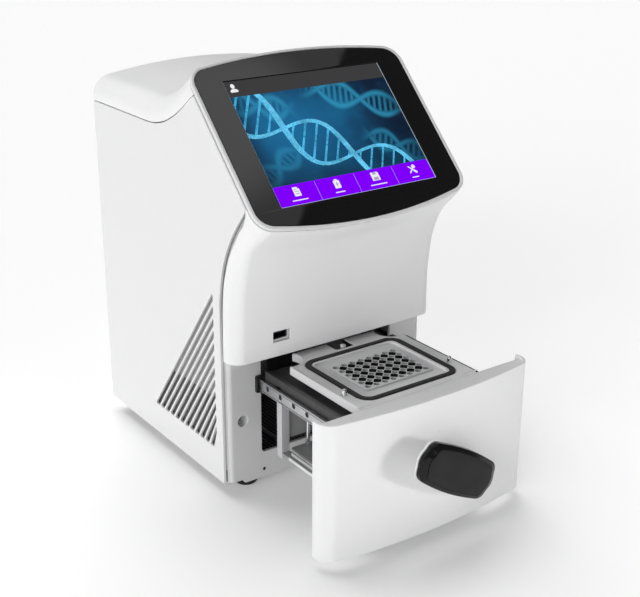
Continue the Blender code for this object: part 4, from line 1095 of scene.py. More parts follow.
def double_helix(start, end, amplitude, turns, radius, phase, rungs, taper, bend):
    """Two strands winding round a line on the face, and the rungs between them, each broken in
    the middle. Coordinates are (across, down, out); rungs counts those per turn."""
    start = Vector((*start, 0))
    along = Vector((*end, 0)) - start
    length = along.length
    along.normalize()
    normal = Vector((-along.y, along.x, 0))

    def size(part):
        return taper[0] + (taper[1] - taper[0]) * part

    def strand_point(part, sign):
        angle = 2 * pi * turns * part + phase
        sideways = amplitude * size(part) * sign * sin(angle) + bend * sin(pi * part)
        return start + along * length * part + normal * sideways, cos(angle) * sign

    strands, bars = [], []
    steps = int(26 * turns)
    for sign in (1, -1):
        path, radii = [], []
        for i in range(steps + 1):
            point, depth = strand_point(i / steps, sign)
            path.append((point.x, point.y, LIT_Z1))
            radii.append(radius * (1.0 + 0.35 * depth) * size(i / steps))
        strands.append(tube(path, radii, 8))
    count = int(rungs * turns)
    for i in range(count):
        part = (i + 0.5) / count
        first, second = strand_point(part, 1)[0], strand_point(part, -1)[0]
        if (first - second).length > 2.2 * radius:
            scale = size(part)
            thick, thin = radius * 0.52 * scale, radius * 0.42 * scale
            mid = (first + second) / 2
            gap = (second - first).normalized() * 0.35 * scale
            bars.append(tube([(first.x, first.y, LIT_Z1),
                              (mid.x - gap.x, mid.y - gap.y, LIT_Z1)], [thick, thin], 6))
            bars.append(tube([(mid.x + gap.x, mid.y + gap.y, LIT_Z1),
                              (second.x, second.y, LIT_Z1)], [thin, thick], 6))
    return joined(strands), joined(bars)


# Cutting planes of the picture: point and outward normal in (across, down, out).
PICTURE_CUTS = (
    ((-80.4, 0, 0), (-1, 0, 0)), ((80.4, 0, 0), (1, 0, 0)),
    ((0, -45.3, 0), (0, -1, 0)), ((0, 41.8, 0), (0, 1, 0)))


def picture_relief(mesh, flatness):
    """Flattens a mesh to a relief, cuts it to the picture, closes it and lays it on the face."""
    mesh.transform(Matrix.Translation((0, 0, LIT_Z1)) @ Matrix.Diagonal((1, 1, flatness, 1))
                   @ Matrix.Translation((0, 0, -LIT_Z1)))
    shape = bmesh.new()
    shape.from_mesh(mesh)
    bpy.data.meshes.remove(mesh)
    for point, normal in PICTURE_CUTS:
        parts = shape.verts[:] + shape.edges[:] + shape.faces[:]
        cut = bmesh.ops.bisect_plane(shape, geom=parts, plane_co=point, plane_no=normal,
                                     clear_outer=True, dist=1e-5)
        cut_edges = [part for part in cut['geom_cut'] if isinstance(part, bmesh.types.BMEdge)]
        if cut_edges:
            bmesh.ops.holes_fill(shape, edges=cut_edges, sides=0)
    relief = closed_mesh(shape)
    relief.transform(Matrix.Diagonal((1, -1, 1, 1)))
    relief.transform(FACE)
    return relief


strands, bars = double_helix(start=(-84.0, -40.0), end=(78.0, 56.0), amplitude=21.0, turns=1.45,
                             radius=2.1, phase=0.75, rungs=13, taper=(1.15, 0.80), bend=8.0)
piece("picture_helix", picture_relief(strands, 0.13), "picture_strand", "display")
piece("picture_helix_rungs", picture_relief(bars, 0.16), "picture_rung", "display")

# ===========================================================================
# feet, rear, fans
# ===========================================================================
FOOT_PROFILE = [
    (0, 11.7), (10.4, 11.7), (10.9, 11.2), (11.0, 9.6), (10.7, 9.2), (10.7, 8.8), (11.0, 8.4),
    (11.0, 3.4), (10.6, 1.9), (9.6, 0.5), (8.8, 0.0), (7.0, 0.0), (6.6, 0.4), (6.0, 0.7),
    (0, 0.7)]     # (radius, z)
for row, y in (("f", 12.0), ("r", 200.0)):
    for tag, side in SIDES:
        piece("foot_pad_" + row + tag, lathe(FOOT_PROFILE, (side * 80.0, y)),
              "foot_rubber", "rubber", "foot_" + row + tag)

FAN_X, FAN_Z, FAN_HOLES = 28.0, 112.0, 35.8
INLET_X, INLET_Z, ROCKER_X = -62.0, 52.0, -30.0
REAR_Y0, REAR_Y1 = 215.2, 217.2


def grille(x, z):
    """Three rings of four curved slots."""
    return [fillet(arc(x, z, outer, 90 * i + 8.0, 90 * i + 82.0, 16)
                   + arc(x, z, inner, 90 * i + 82.0, 90 * i + 8.0, 12), 1.2, 4, 40.0)
            for inner, outer in ((8.0, 13.5), (17.5, 23.0), (27.0, 32.5)) for i in range(4)]


rear_top = [(x * 0.970, SEAM_Z + z - 3.6) for x, z in crown_profile(HALF_W)][1:-1]
rear_outline = fillet([(-107.2, 24.6), (107.2, 24.6), (107.2, SEAM_Z)] + rear_top
                      + [(-107.2, SEAM_Z)], 1.5, 4, 60.0)
rear_screws = [(x, z) for z in (40.0, 180.0, 300.0) for x in (-98.0, 98.0)]
rear_openings = [rounded(x - half, x + half, INLET_Z - 10.5, INLET_Z + 10.5, 1.0, 4)
                 for x, half in ((INLET_X, 14.0), (ROCKER_X, 7.5))]
piece("rear_cover",
      plate([rear_outline] + grille(FAN_X, FAN_Z) + rear_openings
            + [circle(x, z, 1.8, 20) for x, z in rear_screws], REAR_Y0, REAR_Y1, 'XZ', 0.35),
      "coated_light", "coated_sheet", "rear_panel")


def pan_screw(x, z):
    """Pan head with a cross recess, facing the rear."""
    y, radius, height = REAR_Y1, 3.0, 1.3
    cross = [point for angle in (0, 90, 180, 270)
             for point in turned([(1.5, -0.32), (1.5, 0.32), (0.32, 0.32)], angle, x, z)]
    head = [(0, y + 0.02), (radius - 0.1, y + 0.02), (radius, y + 0.15),
            (radius * 0.92, y + height * 0.55), (radius * 0.66, y + height * 0.7),
            (0, y + height * 0.72)]
    return [lathe(head, (x, z), 'XZ', 28),
            plate([circle(x, z, radius * 0.66, 28), cross], y + height * 0.7, y + height, 'XZ',
                  0.15, 2)]


fan_screws = [(FAN_X + x, FAN_Z + z) for x in (-FAN_HOLES, FAN_HOLES)
              for z in (-FAN_HOLES, FAN_HOLES)]
piece("rear_screws",
      joined([mesh for x, z in rear_screws + fan_screws for mesh in pan_screw(x, z)]),
      "bare_steel")

# mains inlet with its three blades, and the rocker switch
inlet = plate([rounded(INLET_X - 13.6, INLET_X + 13.6, INLET_Z - 10.1, INLET_Z + 10.1, 1.2, 5)],
              196.0, 219.4, 'XZ', 0.5)
mouth = fillet([(INLET_X + x, INLET_Z + z) for x, z in
                ((-11.4, -7.9), (11.4, -7.9), (11.4, 4.0), (8.0, 7.9), (-8.0, 7.9),
                 (-11.4, 4.0))], 1.2)
piece("mains_inlet", combine(inlet, plate([mouth], 203.0, 225.0, 'XZ', 0.0)), "black_plastic",
      stands_for="power_inlet")
piece("mains_blades",
      joined([block((INLET_X + x - 1.0, INLET_X + x + 1.0), (202.5, 215.5),
                    (INLET_Z + z - 2.0, INLET_Z + z + 2.0), 0.35)
              for x, z in ((-7.0, -1.2), (0.0, 2.2), (7.0, -1.2))]), "bare_steel")
rocker_face = [(218.8, -8.4), (217.9, -3.6), (217.8, 0.0), (218.5, 3.8), (220.1, 8.2)]
rocker = ([(205.0, INLET_Z - 5.0), (216.6, INLET_Z - 8.2)]
          + spline([(y, INLET_Z + z) for y, z in rocker_face])
          + [(216.6, INLET_Z + 8.2), (205.0, INLET_Z + 5.0)])
piece("rocker_cap",
      plate([fillet(rocker, 0.5, 3, 30.0)], ROCKER_X - 6.0, ROCKER_X + 6.0, 'YZ', 0.5),
      "black_plastic", stands_for="power_switch_rocker", body="power_switch")


def fan_shell(x, z, half, front, rear, holes, steps=64):
    """Square fan frame with a hub carried by four arms at its rear."""
    bore, hub = half - 2.2, half * 0.42
    mounts = [circle(x + i * holes, z + j * holes, 1.9, 20) for i in (-1, 1) for j in (-1, 1)]
    outline = rounded(x - half, x + half, z - half, z + half, 4.0)
    parts = [plate([outline, circle(x, z, bore, steps)] + mounts, front, rear, 'XZ', 0.6),
             rod(x, z, hub, rear - 3.2, rear - 0.4, 0.6, steps)]
    for i in range(4):
        angle = radians(90 * i + 45 - 3)
        inner = Vector((x + (hub - 1.0) * cos(angle), z + (hub - 1.0) * sin(angle)))
        outer = Vector((x + (bore + 0.6) * cos(angle + 0.10),
                        z + (bore + 0.6) * sin(angle + 0.10)))
        along = (outer - inner).normalized()
        half_arm = Vector((-along.y, along.x)) * 1.6
        corners = (inner - half_arm, outer - half_arm, outer + half_arm, inner + half_arm)
        parts.append(plate([[tuple(corner) for corner in corners]], rear - 3.0, rear - 0.6, 'XZ',
                           0.4, 2))
    return joined(parts)


def fan_blades(x, z, tip, front, rear, blades=7):
    """Hub cap and swept, cambered blades."""
    hub = tip * 0.40
    parts = [lathe([(0, front), (hub - 2.0, front), (hub - 0.6, front + 0.5), (hub, front + 2.0),
                    (hub, rear - 0.4), (hub - 0.4, rear), (0, rear)], (x, z), 'XZ', 56)]
    for blade in range(blades):
        sections = []
        for i in range(9):
            outward = i / 8.0
            radius = hub - 0.4 + (tip - hub + 0.4) * outward
            sweep = 0.28 * outward * outward
            width = (2 * pi / blades) * (0.62 + 0.14 * outward)
            faces = ([], [])
            for j in range(9):
                chord = j / 8.0
                angle = 2 * pi * blade / blades + sweep + width * chord
                y = front + 1.0 + (rear - front - 2.0) * chord + 0.8 * sin(pi * chord)
                half = 0.30 + 0.55 * sin(pi * chord)
                for face, offset in zip(faces, (half, -half)):
                    face.append(Vector((x + radius * cos(angle), y + offset,
                                        z + radius * sin(angle))))
            sections.append(faces[0] + faces[1][::-1])
        parts.append(rings(sections))
    return joined(parts)


piece("exhaust_fan_shell", fan_shell(FAN_X, FAN_Z, 40.0, 190.0, 214.6, FAN_HOLES),
      "black_plastic", stands_for="exhaust_fan_frame")
piece("exhaust_fan_blades", fan_blades(FAN_X, FAN_Z, 36.0, 192.2, 207.8),
      "black_plastic", stands_for="exhaust_fan_rotor", body="exhaust_fan")
drawer_piece("sink_fan_shell", fan_shell(0.0, 85.0, 25.0, -31.0, -14.0, 20.0, 48),
             "black_plastic", stands_for="sink_fan_frame")
piece("sink_fan_blades", fan_blades(0.0, 85.0, 21.8, -29.4, -18.6),
      "black_plastic", stands_for="sink_fan_rotor", body="sink_fan")

# base pan with its vents and upright rim, the perforated sheet over the vents and its rails
pan_outline = rounded(-106.9, 106.9, 0.3, 214.6, 2.0, 5)
pan_vents = [rounded(-60.0, 60.0, 40.0 + 14.0 * i, 46.0 + 14.0 * i, 2.9) for i in range(6)]
piece("base_pan",
      joined([plate([pan_outline] + pan_vents, 12.0, 13.5, 'XY', 0.4),
              plate([pan_outline, rounded(-105.4, 105.4, 1.8, 213.1, 1.0, 5)], 13.3, 24.0, 'XY',
                    0.4)]), "coated_sheet", stands_for="base_plate")
piece("dust_screen", plate([rounded(-66.0, 66.0, 22.0, 128.0, 2.0, 4)], 13.7, 14.5, 'XY', 0.2, 2),
      "perforated_black", "coated_sheet")
piece("screen_rails",
      joined([block((x - 1.9, x + 1.9), (20.0, 132.0), (14.3, 17.4), 0.5)
              for x in (-28.6, 28.6)]), "lip_aluminium", "coated_sheet")

# sheets behind the side vents, seen through the slots: painted light on the pale upper half,
# painted shade on the dark lower half
upper_backing_outline = fillet([(6.5, 92.0), (100.0, 88.0), (152.0, 84.0), (152.0, 128.0), (60.0, 212.0),
                       (6.5, 212.0)], 2.0)
lower_backing_outline = rounded(6.5, 160.0, 28.0, 96.0, 2.0, 4)
for tag, side in SIDES:
    piece("vent_backing_painted_light_" + tag,
          plate([upper_backing_outline], *on_side(side, 106.8, 107.5), 'YZ', 0.2, 2),
          "vent_pale", "coated_sheet")
    piece("vent_backing_painted_shade_" + tag,
          plate([lower_backing_outline], *on_side(side, 106.0, 106.7), 'YZ', 0.2, 2),
          "vent_dark", "coated_sheet")

# ===========================================================================
# drawer front
# ===========================================================================
DRAWER_HW, DRAWER_Z0, DRAWER_Z1 = 110.2, 9.1, 132.6
DRAWER_REAR, DRAWER_FRONT, DRAWER_BOW, DRAWER_R, DRAWER_WALL = -135.1, -161.6, 7.7, 14.0, 3.2
SHELF_Y, SHELF_Z = -141.4, 131.6


def drawer_u(inward, rear):
    """U of the drawer front seen from above, moved inwards and ending at the rear."""
    reach = rear - (DRAWER_FRONT + inward)
    profile = bowed_u(DRAWER_HW - inward, 0.0, reach, reach - DRAWER_BOW * 0.92,
                      DRAWER_R - inward, 16, 22)
    return [(x, rear - y) for x, y in profile]


shell_loop = drawer_u(0.0, DRAWER_REAR) + drawer_u(DRAWER_WALL, DRAWER_REAR)[::-1]
shell = plate([fillet(shell_loop, 1.2, 5, 50.0)], DRAWER_Z0, DRAWER_Z1, 'XY', 0.9, 5)
shell = combine(shell, rod(0.0, HANDLE_Z, 6.0, -170.0, -150.0, 0.1, 48))
shelf = plate([fillet(drawer_u(DRAWER_WALL - 0.7, SHELF_Y), 0.8, 4, 50.0)],
              SHELF_Z - 2.4, SHELF_Z, 'XY', 0.35)
drawer_front = drawer_piece("drawer_front_shell", combine(shell, shelf, 'UNION'),
                            ["white_shell", "shelf_white"], "white_shell", "drawer_front",
                            angle=42.0)
# painted shade: upward faces high on the drawer front take the darker shelf material
for face in drawer_front.data.polygons:
    if face.normal.z > 0.8 and face.center.z > 112.0 * MM:
        face.material_index = 1

# ===========================================================================
# tray, sealing ring, block
# ===========================================================================
BLOCK_Y, PITCH, COLS, ROWS, BLOCK_TOP = -82.3, 9.0, 8, 6, 128.2
TRAY_TOP, TRAY_BOTTOM, TRAY_HW, TRAY_FRONT, TRAY_REAR = 128.6, 121.2, 63.0, -137.0, -14.0
GASKET_Y, GASKET_HW, GASKET_HL, GASKET_R, GASKET_W = -81.3, 51.9, 46.3, 12.5, 4.9
PIN_X, PIN_Y, PIN_R, PIN_TOP = 57.0, -106.0, 2.1, 133.5
BAY_X, BAY_Y, BAY_R = 58.0, -22.0, 14.5     # round bays at the tray's rear corners
NOTCH_Y = -30.0                             # front end of the notch in the tray's rear edge


def tray_outline():
    to_edge = TRAY_HW - BAY_X
    start = -atan2(sqrt(BAY_R ** 2 - to_edge ** 2), to_edge) * 180 / pi
    inner_x = BAY_X - sqrt(BAY_R ** 2 - (TRAY_REAR - BAY_Y) ** 2)
    end = -(360.0 - atan2(TRAY_REAR - BAY_Y, inner_x - BAY_X) * 180 / pi)
    right = (arc(TRAY_HW - 5.0, TRAY_FRONT + 5.0, 5.0, 270, 360, 8)
             + arc(BAY_X, BAY_Y, BAY_R, start, end, 30))
    notch = [(10.5, TRAY_REAR), (10.5, NOTCH_Y), (-8.5, NOTCH_Y), (-8.5, TRAY_REAR)]
    return fillet(right + notch + [(-x, y) for x, y in reversed(right)], 1.5, 5, 40.0)


def seal_loop(inward, softer=0.0):
    """Outline of the sealing ring moved inwards, its corners larger by softer."""
    half_width, half_length = GASKET_HW - inward, GASKET_HL - inward
    return rounded(-half_width, half_width, GASKET_Y - half_length, GASKET_Y + half_length,
                   GASKET_R - inward + softer, 10)


def lens(x, y, length, width):
    """Outline between two shallow arcs."""
    half = width / 2
    radius = (length * length / 4 + half * half) / (2 * half)
    angle = atan2(length / 2, radius - half) * 180 / pi
    return clean(arc(x, y - (radius - half), radius, 90 - angle, 90 + angle, 10)
                 + arc(x, y + (radius - half), radius, 270 - angle, 270 + angle, 10))


dishes = [lens(side * 56.0, -133.2, 13.0, 1.7) for _, side in SIDES]
dish_floor = plate([rounded(-TRAY_HW + 1.2, TRAY_HW - 1.2, -136.0, -130.4, 2.0, 4)],
                   TRAY_BOTTOM + 0.6, TRAY_TOP - 0.9, 'XY', 0.1, 2)
drawer_piece("tray_side_strip", block((63.1, 64.2), (-135.6, -40.0), (121.6, 128.3), 0.35),
             "rail_slot", "black_plastic")
pin_holes = [circle(side * PIN_X, PIN_Y, PIN_R + 0.35, 28) for _, side in SIDES]
drawer_piece("tray_plate",
             plate([tray_outline()] + dishes + [seal_loop(-0.3)] + pin_holes,
                   TRAY_BOTTOM, TRAY_TOP, 'XY', 1.3, 5, low=0.1),
             "tray_white", "white_shell", "tray")
drawer_piece("tray_dish_floor", dish_floor, "tray_white", "white_shell")
drawer_piece("sealing_ring",
             plate([seal_loop(0.0), seal_loop(GASKET_W)], 122.0, 129.3, 'XY', 0.7, 4, low=0.3),
             "rubber_black", "rubber", "gasket")

# collar between sealing ring and block
BLOCK_HW, BLOCK_HL = COLS * PITCH / 2.0, ROWS * PITCH / 2.0
COLLAR_INWARD, COLLAR_W = GASKET_W + 0.3, 2.9
collar = seal_loop(COLLAR_INWARD)
block_window = rounded(-BLOCK_HW - 0.45, BLOCK_HW + 0.45, BLOCK_Y - BLOCK_HL - 0.45,
                       BLOCK_Y + BLOCK_HL + 0.45, 2.4)
collar_inside = seal_loop(COLLAR_INWARD + COLLAR_W, softer=COLLAR_W * 0.2)
drawer_piece("block_surround",
             joined([plate([collar, block_window], 115.7, 126.7),
                     plate([collar, collar_inside], 126.0, 128.5, 'XY', 0.55, 4)]),
             "tray_white", "white_shell", "block_frame")


def block_grid(cols, rows):
    """Centres of a grid at the well pitch, in the middle of the block."""
    return [((col - (cols - 1) / 2.0) * PITCH, BLOCK_Y + (row - (rows - 1) / 2.0) * PITCH)
            for col in range(cols) for row in range(rows)]


def pocket_cut(x, y, half=3.12, depth=8.0):
    """Square pocket, turned by 45 degrees."""
    sections = []
    for size, z in ((half - 0.1, BLOCK_TOP - depth), (half, BLOCK_TOP - 0.15),
                    (half + 0.10, BLOCK_TOP + 0.05)):
        sections.append([Vector((x + (right - back) * 0.70711, y + (right + back) * 0.70711, z))
                         for right, back in rounded(-size, size, -size, size, 0.75, 3)])
    return rings(sections)


WELL_R = 2.62
WELL_PROFILE = [
    (0, BLOCK_TOP - 10.9), (0.7, BLOCK_TOP - 10.7), (1.2, BLOCK_TOP - 10.2),
    (WELL_R, BLOCK_TOP - 0.15), (WELL_R + 0.12, BLOCK_TOP + 0.05), (0, BLOCK_TOP + 0.05)]
wells = block_grid(COLS, ROWS)
pockets = block_grid(COLS - 1, ROWS - 1)
cuts = [lathe(WELL_PROFILE, centre, 'XY', 28) for centre in wells]
cuts += [pocket_cut(*centre) for centre in pockets]
slab = plate([rounded(-BLOCK_HW, BLOCK_HW, BLOCK_Y - BLOCK_HL, BLOCK_Y + BLOCK_HL, 2.0)],
             116.8, BLOCK_TOP, 'XY', 0.4)
sample_block = drawer_piece("sample_block", combine(slab, joined(cuts)),
                            ["block_aluminium", "dark_insert", "well_wall"], "aluminium",
                            "well_block", angle=35.0)
# painted shade: pocket walls near black, well walls grey, both darker than the block's top
for face in sample_block.data.polygons:
    centre = face.center / MM - Vector((0, ROW_Y, 0))
    if (117.2 < centre.z < BLOCK_TOP - 0.05 and abs(centre.x) < BLOCK_HW - 0.5
            and abs(centre.y - BLOCK_Y) < BLOCK_HL - 0.5):
        to_pocket = min((abs(centre.x - x) + abs(centre.y - y)) * 0.70711 for x, y in pockets)
        to_well = min((centre.x - x) ** 2 + (centre.y - y) ** 2 for x, y in wells) ** 0.5
        face.material_index = 1 if to_pocket < 3.26 and to_pocket < to_well else 2

STUD_PROFILE = [
    (0, PIN_TOP), (0.7, PIN_TOP - 0.06), (1.25, PIN_TOP - 0.3), (1.65, PIN_TOP - 0.75),
    (1.95, PIN_TOP - 1.5), (PIN_R, PIN_TOP - 2.4), (PIN_R, TRAY_TOP + 0.6),
    (PIN_R + 0.25, TRAY_TOP + 0.25), (PIN_R + 0.3, TRAY_TOP - 0.6), (PIN_R, TRAY_TOP - 0.9),
    (PIN_R, 116.2), (PIN_R - 0.4, 115.7), (0, 115.7)]     # (radius, z)
for tag, side in SIDES:
    drawer_piece("guide_stud_" + tag, lathe(STUD_PROFILE, (side * PIN_X, PIN_Y), 'XY', 56),
                 "chrome", stands_for="guide_pin_" + tag)
clip = [block((-4.2, 4.2), (-29.6, -17.0), (115.7, 117.6), 0.4),
        block((-2.6, 2.6), (-29.2, -27.4), (116.6, 130.2), 0.6),
        block((-2.0, 2.0), (-29.8, -25.8), (129.0, 130.6), 0.5),
        rod(-0.3, 125.6, 1.1, -29.7, -27.0, 0.3, 24)]
drawer_piece("tray_latch_clip", joined(clip), "lip_aluminium", "bare_steel", "tray_clip")
notch_liner = fillet([(-8.2, -29.7), (-8.2, -14.3), (-7.4, -14.3), (-7.4, -28.9), (9.4, -28.9),
                      (9.4, -14.3), (10.2, -14.3), (10.2, -29.7)], 0.3, 2)
drawer_piece("tray_notch_liner", plate([notch_liner], 116.2, 128.0, 'XY', 0.1, 2), "rail_slot",
             "black_plastic")

# deck under the tray, with raised strips along both sides and black hanging strips below its
# edges, painted shade for the gap between deck and rails
deck = [plate([rounded(-72.2, 72.2, -141.0, -10.0, 2.0),
               rounded(-40.5, 40.5, -114.5, -50.0, 3.0)], 112.6, 115.3, 'XY', 0.4)]
for _, side in SIDES:
    deck.append(block(on_side(side, 67.6, 72.1), (-140.8, -10.2), (114.9, 117.0), 0.6))
    deck.append(block(on_side(side, 71.0, 72.2), (-140.6, -10.6), (101.0, 113.4), 0.4))
drawer_piece("deck_plate", joined(deck), "satin_black", "black_plastic", "drawer_deck")

# ===========================================================================
# slides and drawer frame
# ===========================================================================
RAIL_Y0, RAIL_Y1, RIVET_Z = -152.6, 42.0, 104.2
RIVET_Y = (-19.4, -39.3, -59.5, -79.3, -110.4, 0.6, 20.6)
TIE_PROFILE = [
    (0, 112.3), (1.3, 112.3), (1.6, 112.0), (1.6, 54.6), (2.5, 54.4), (2.5, 50.6), (2.2, 50.3),
    (0, 50.3)]     # (radius, z)
rail_loops = ([rounded(RAIL_Y0, RAIL_Y1, 98.4, 106.9, 0.6, 4)]
              + [circle(y, RIVET_Z, 2.45, 28) for y in RIVET_Y])
beam = fillet([(-153.2, 45.0), (-30.0, 45.0), (-30.0, 47.4), (-153.2, 47.4)], 0.5, 3)
for tag, side in SIDES:
    across = partial(on_side, side)
    rail = [plate(rail_loops, *across(73.6, 75.7), 'YZ', 0.35),
            block(across(73.2, 76.4), (RAIL_Y0, RAIL_Y1), (107.7, 109.2), 0.35),
            block(across(73.2, 76.4), (RAIL_Y0, RAIL_Y1), (98.2, 99.4), 0.4)]
    drawer_piece("rail_member_" + tag, joined(rail), "rail_metal", "aluminium",
                 "drawer_rail_" + tag)
    drawer_piece("rail_core_" + tag,
                 block(across(72.9, 74.2), (RAIL_Y0 + 0.4, RAIL_Y1 - 0.4), (98.8, 108.8), 0.3),
                 "rail_slot", "black_plastic")
    piece("rail_guide_" + tag,
          plate([rounded(*across(72.3, 78.8), 95.9, 112.0, 1.2, 4),
                 rounded(*across(72.7, 77.3), 97.4, 110.4, 0.5, 3)], -7.4, -1.0, 'XZ', 0.35),
          "rail_slot", "black_plastic")
    # painted shade: the rivets are near black so the holes in the rails read dark
    rivet = [(radius, side * x) for radius, x in
             ((0, 74.6), (0.7, 74.6), (1.0, 74.45), (1.1, 74.1), (0, 74.1))]
    drawer_piece("rail_rivets_" + tag,
                 joined([lathe(rivet, (y, RIVET_Z), 'YZ', 24) for y in RIVET_Y]),
                 "dark_sheet", "aluminium")
    leg = fillet([(side * 63.5, 41.0), (side * 72.2, 41.0), (side * 72.2, 112.2),
                  (side * 63.5, 112.2)], 1.6, 5)
    drawer_piece("drawer_leg_" + tag, plate([leg], -36.0, -28.5, 'XZ', 0.7), "leg_aluminium",
                 "aluminium", "drawer_side_frame_" + tag)
    drawer_piece("drawer_beam_" + tag, plate([beam], *across(63.6, 71.8), 'YZ', 0.35),
                 "coated_sheet", "aluminium")
    drawer_piece("beam_lips_" + tag,
                 joined([block(across(71.0, 72.2), (-153.2, -46.5), (44.8, 47.9), 0.35),
                         block(across(66.8, 67.9), (-153.2, -44.5), (47.2, 50.0), 0.35)]),
                 "lip_aluminium", "aluminium")
    drawer_piece("tie_bar_" + tag, lathe(TIE_PROFILE, (side * 49.5, -44.0), 'XY', 32), "chrome",
                 stands_for="tie_rod_" + tag)
floor_slots = [rounded(-30 + 14 * i, -22 + 14 * i, -120.0, -60.0, 3.9) for i in range(5)]
drawer_piece("floor_sheet",
             plate([rounded(-63.1, 63.1, -146.4, -36.4, 2.0, 5)] + floor_slots, 48.2, 50.0),
             "coated_light", "coated_sheet", "drawer_floor")
drawer_piece("bulkhead_sheet",
             plate([rounded(-63.1, 63.1, 58.6, 112.3, 1.5, 5),
                    rounded(-38.0, 38.0, 64.0, 106.0, 3.0)], -33.5, -31.5, 'XZ'),
             "coated_sheet", stands_for="drawer_bulkhead")

# heat sink: fins hanging from a base
SINK_HW, FIN_Z, SINK_BASE_Z, SINK_TOP, FIN_COUNT, FIN_T = 40.0, 60.0, 106.0, 112.4, 13, 1.6
comb = [(SINK_HW, SINK_TOP), (-SINK_HW, SINK_TOP)]
fin_step = (2 * SINK_HW - FIN_T) / (FIN_COUNT - 1)
for i in range(FIN_COUNT):
    x = -SINK_HW + fin_step * i
    comb += [(x, FIN_Z), (x + FIN_T, FIN_Z)]
    if i < FIN_COUNT - 1:
        comb += [(x + FIN_T, SINK_BASE_Z), (x + fin_step, SINK_BASE_Z)]
drawer_piece("finned_sink", plate([fillet(comb, 0.35, 3)], -126.0, -38.0, 'XZ', 0.25, 2),
             "aluminium", stands_for="heat_sink")

# ===========================================================================
# handle, shaft, latch arm; drawn upright and turned as they are placed
# ===========================================================================
HANDLE_HW, HANDLE_HH, HANDLE_BOW_X, HANDLE_BOW_Z, HANDLE_R = 44.3, 19.8, 2.6, 2.4, 9.0


def handle_loop(inward, y):
    """Pillow-shaped section of the handle."""
    half_width, half_height = HANDLE_HW - inward, HANDLE_HH - inward * 0.62
    radius = max(2.0, HANDLE_R - inward * 0.5)
    x, z = half_width - HANDLE_BOW_X - radius, half_height - HANDLE_BOW_Z - radius
    steps = 7
    quarter = [(half_width - HANDLE_BOW_X * (k / steps) ** 2, z * k / steps)
               for k in range(steps)]
    quarter += arc(x, z, radius, 8, 82, 8)
    quarter += [(x * k / steps, half_height - HANDLE_BOW_Z * (k / steps) ** 2)
                for k in range(steps - 1, 0, -1)]
    upper = mirrored(quarter + [(0.0, half_height)])
    loop = upper + [(-across, -up) for across, up in upper[1:-1]]
    return [Vector((across, y, HANDLE_Z + up)) for across, up in loop]


# Sections of the pad and of the body behind it: (distance inwards, y).
PAD_ROWS = [
    (0.9, -180.6), (0.3, -180.8), (0.0, -181.3), (0.0, -184.4), (0.2, -185.3), (0.8, -185.9),
    (1.5, -186.2), (5.6, -187.75), (5.75, -187.45), (6.2, -187.45), (6.35, -187.9),
    (7.7, -188.2), (9.4, -188.45), (13.0, -188.85), (17.0, HANDLE_FACE)]
BODY_ROWS = [
    (1.4, -177.4), (0.4, -177.7), (-0.1, -178.3), (-0.3, -179.0), (-0.3, -179.7),
    (0.0, -180.15), (0.6, -180.3)]
NECK_PROFILE = [
    (0, -178.2), (13.6, -178.2), (13.4, -177.2), (12.4, -175.8), (12.0, -174.0),
    (12.0, -162.9), (11.6, -162.3), (0, -162.3)]     # (radius, y)
pad = piece("handle_grip_pad", rings([handle_loop(*row) for row in PAD_ROWS]),
            ["pad_gloss", "pad_black"], "black_plastic", "handle_pad", body="handle", angle=50.0)
from_row = (TO_ROW @ TURN_HANDLE).inverted()
for face in pad.data.polygons:
    if (from_row @ face.center).y < -187.93:
        face.material_index = 1
piece("handle_shell",
      joined([rings([handle_loop(*row) for row in BODY_ROWS]),
              lathe(NECK_PROFILE, (0.0, HANDLE_Z), 'XZ', 56),
              rod(0.0, HANDLE_Z, 5.6, -163.0, -151.0, 0.5, 40)]),
      "rim_grey", "grey_trim", "handle_body", body="handle", angle=50.0)
arm = fillet(arc(0.0, HANDLE_Z, 9.5, -30, 210, 32)
             + [(-5.0, 33.6), (-3.0, 30.6), (3.0, 30.6), (5.0, 33.6)], 1.0, 4, 40.0)
piece("latch_lever",
      joined([plate([arm], -150.7, -147.2, 'XZ', 0.4),
              plate([circle(0.0, HANDLE_Z, 6.2, 6)], -147.3, -143.6, 'XZ', 0.5)]),
      "bare_steel", stands_for="latch_arm", body="handle")
catch = fillet([(FRAME_Y0 - 0.3, 22.0), (FRAME_Y0 - 0.3, 31.0), (-6.6, 31.0), (-6.6, 24.0),
                (-20.2, 24.0), (-20.2, 39.0), (-22.6, 39.0), (-22.6, 22.0)], 0.6)
piece("latch_catch", plate([catch], -6.0, 6.0, 'YZ', 0.4), "bare_steel",
      stands_for="latch_keeper")

# ===========================================================================
# nodes kept from the frame: rounded edges and finishes only
# ===========================================================================
KEPT = {
    "display_bracket": "bare_steel", "inner_chassis": "coated_sheet",
    "slide_fixed_l": "bare_steel", "slide_fixed_r": "bare_steel",
    "slide_mid_l": "rail_metal", "slide_mid_r": "rail_metal",
    "lid_carriage": "aluminium", "lid_heater_plate": "aluminium", "lid_screw": "bare_steel",
    "lid_guide_rod_l": "chrome", "lid_guide_rod_r": "chrome", "lid_motor": "black_plastic",
    "power_supply": "coated_sheet", "main_board": "circuit_board", "peltier": "ceramic"}
for name, finish in KEPT.items():
    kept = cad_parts[name]
    kept.data.materials.clear()
    kept.data.materials.append(FINISH[finish])
    if name not in ("peltier", "inner_chassis"):
        add_bevel(kept, 0.35)

# wires inside the body: radius and path
WIRES = (
    (2.2, [(60, 150, 218), (70, 150, 235), (76, 120, 262), (60, 80, 290), (30, 62, 300)]),
    (2.6, [(-50, 190, 218.0), (-58, 196, 190), (-62, 198, 120), (-62, 194, 66)]),
    (1.6, [(64, 184, 218), (70, 186, 190), (68, 187.2, 162), (62, 187.6, 145)]))
piece("wire_loom", joined([tube(path, [radius] * len(path)) for radius, path in WIRES]),
      "black_plastic")


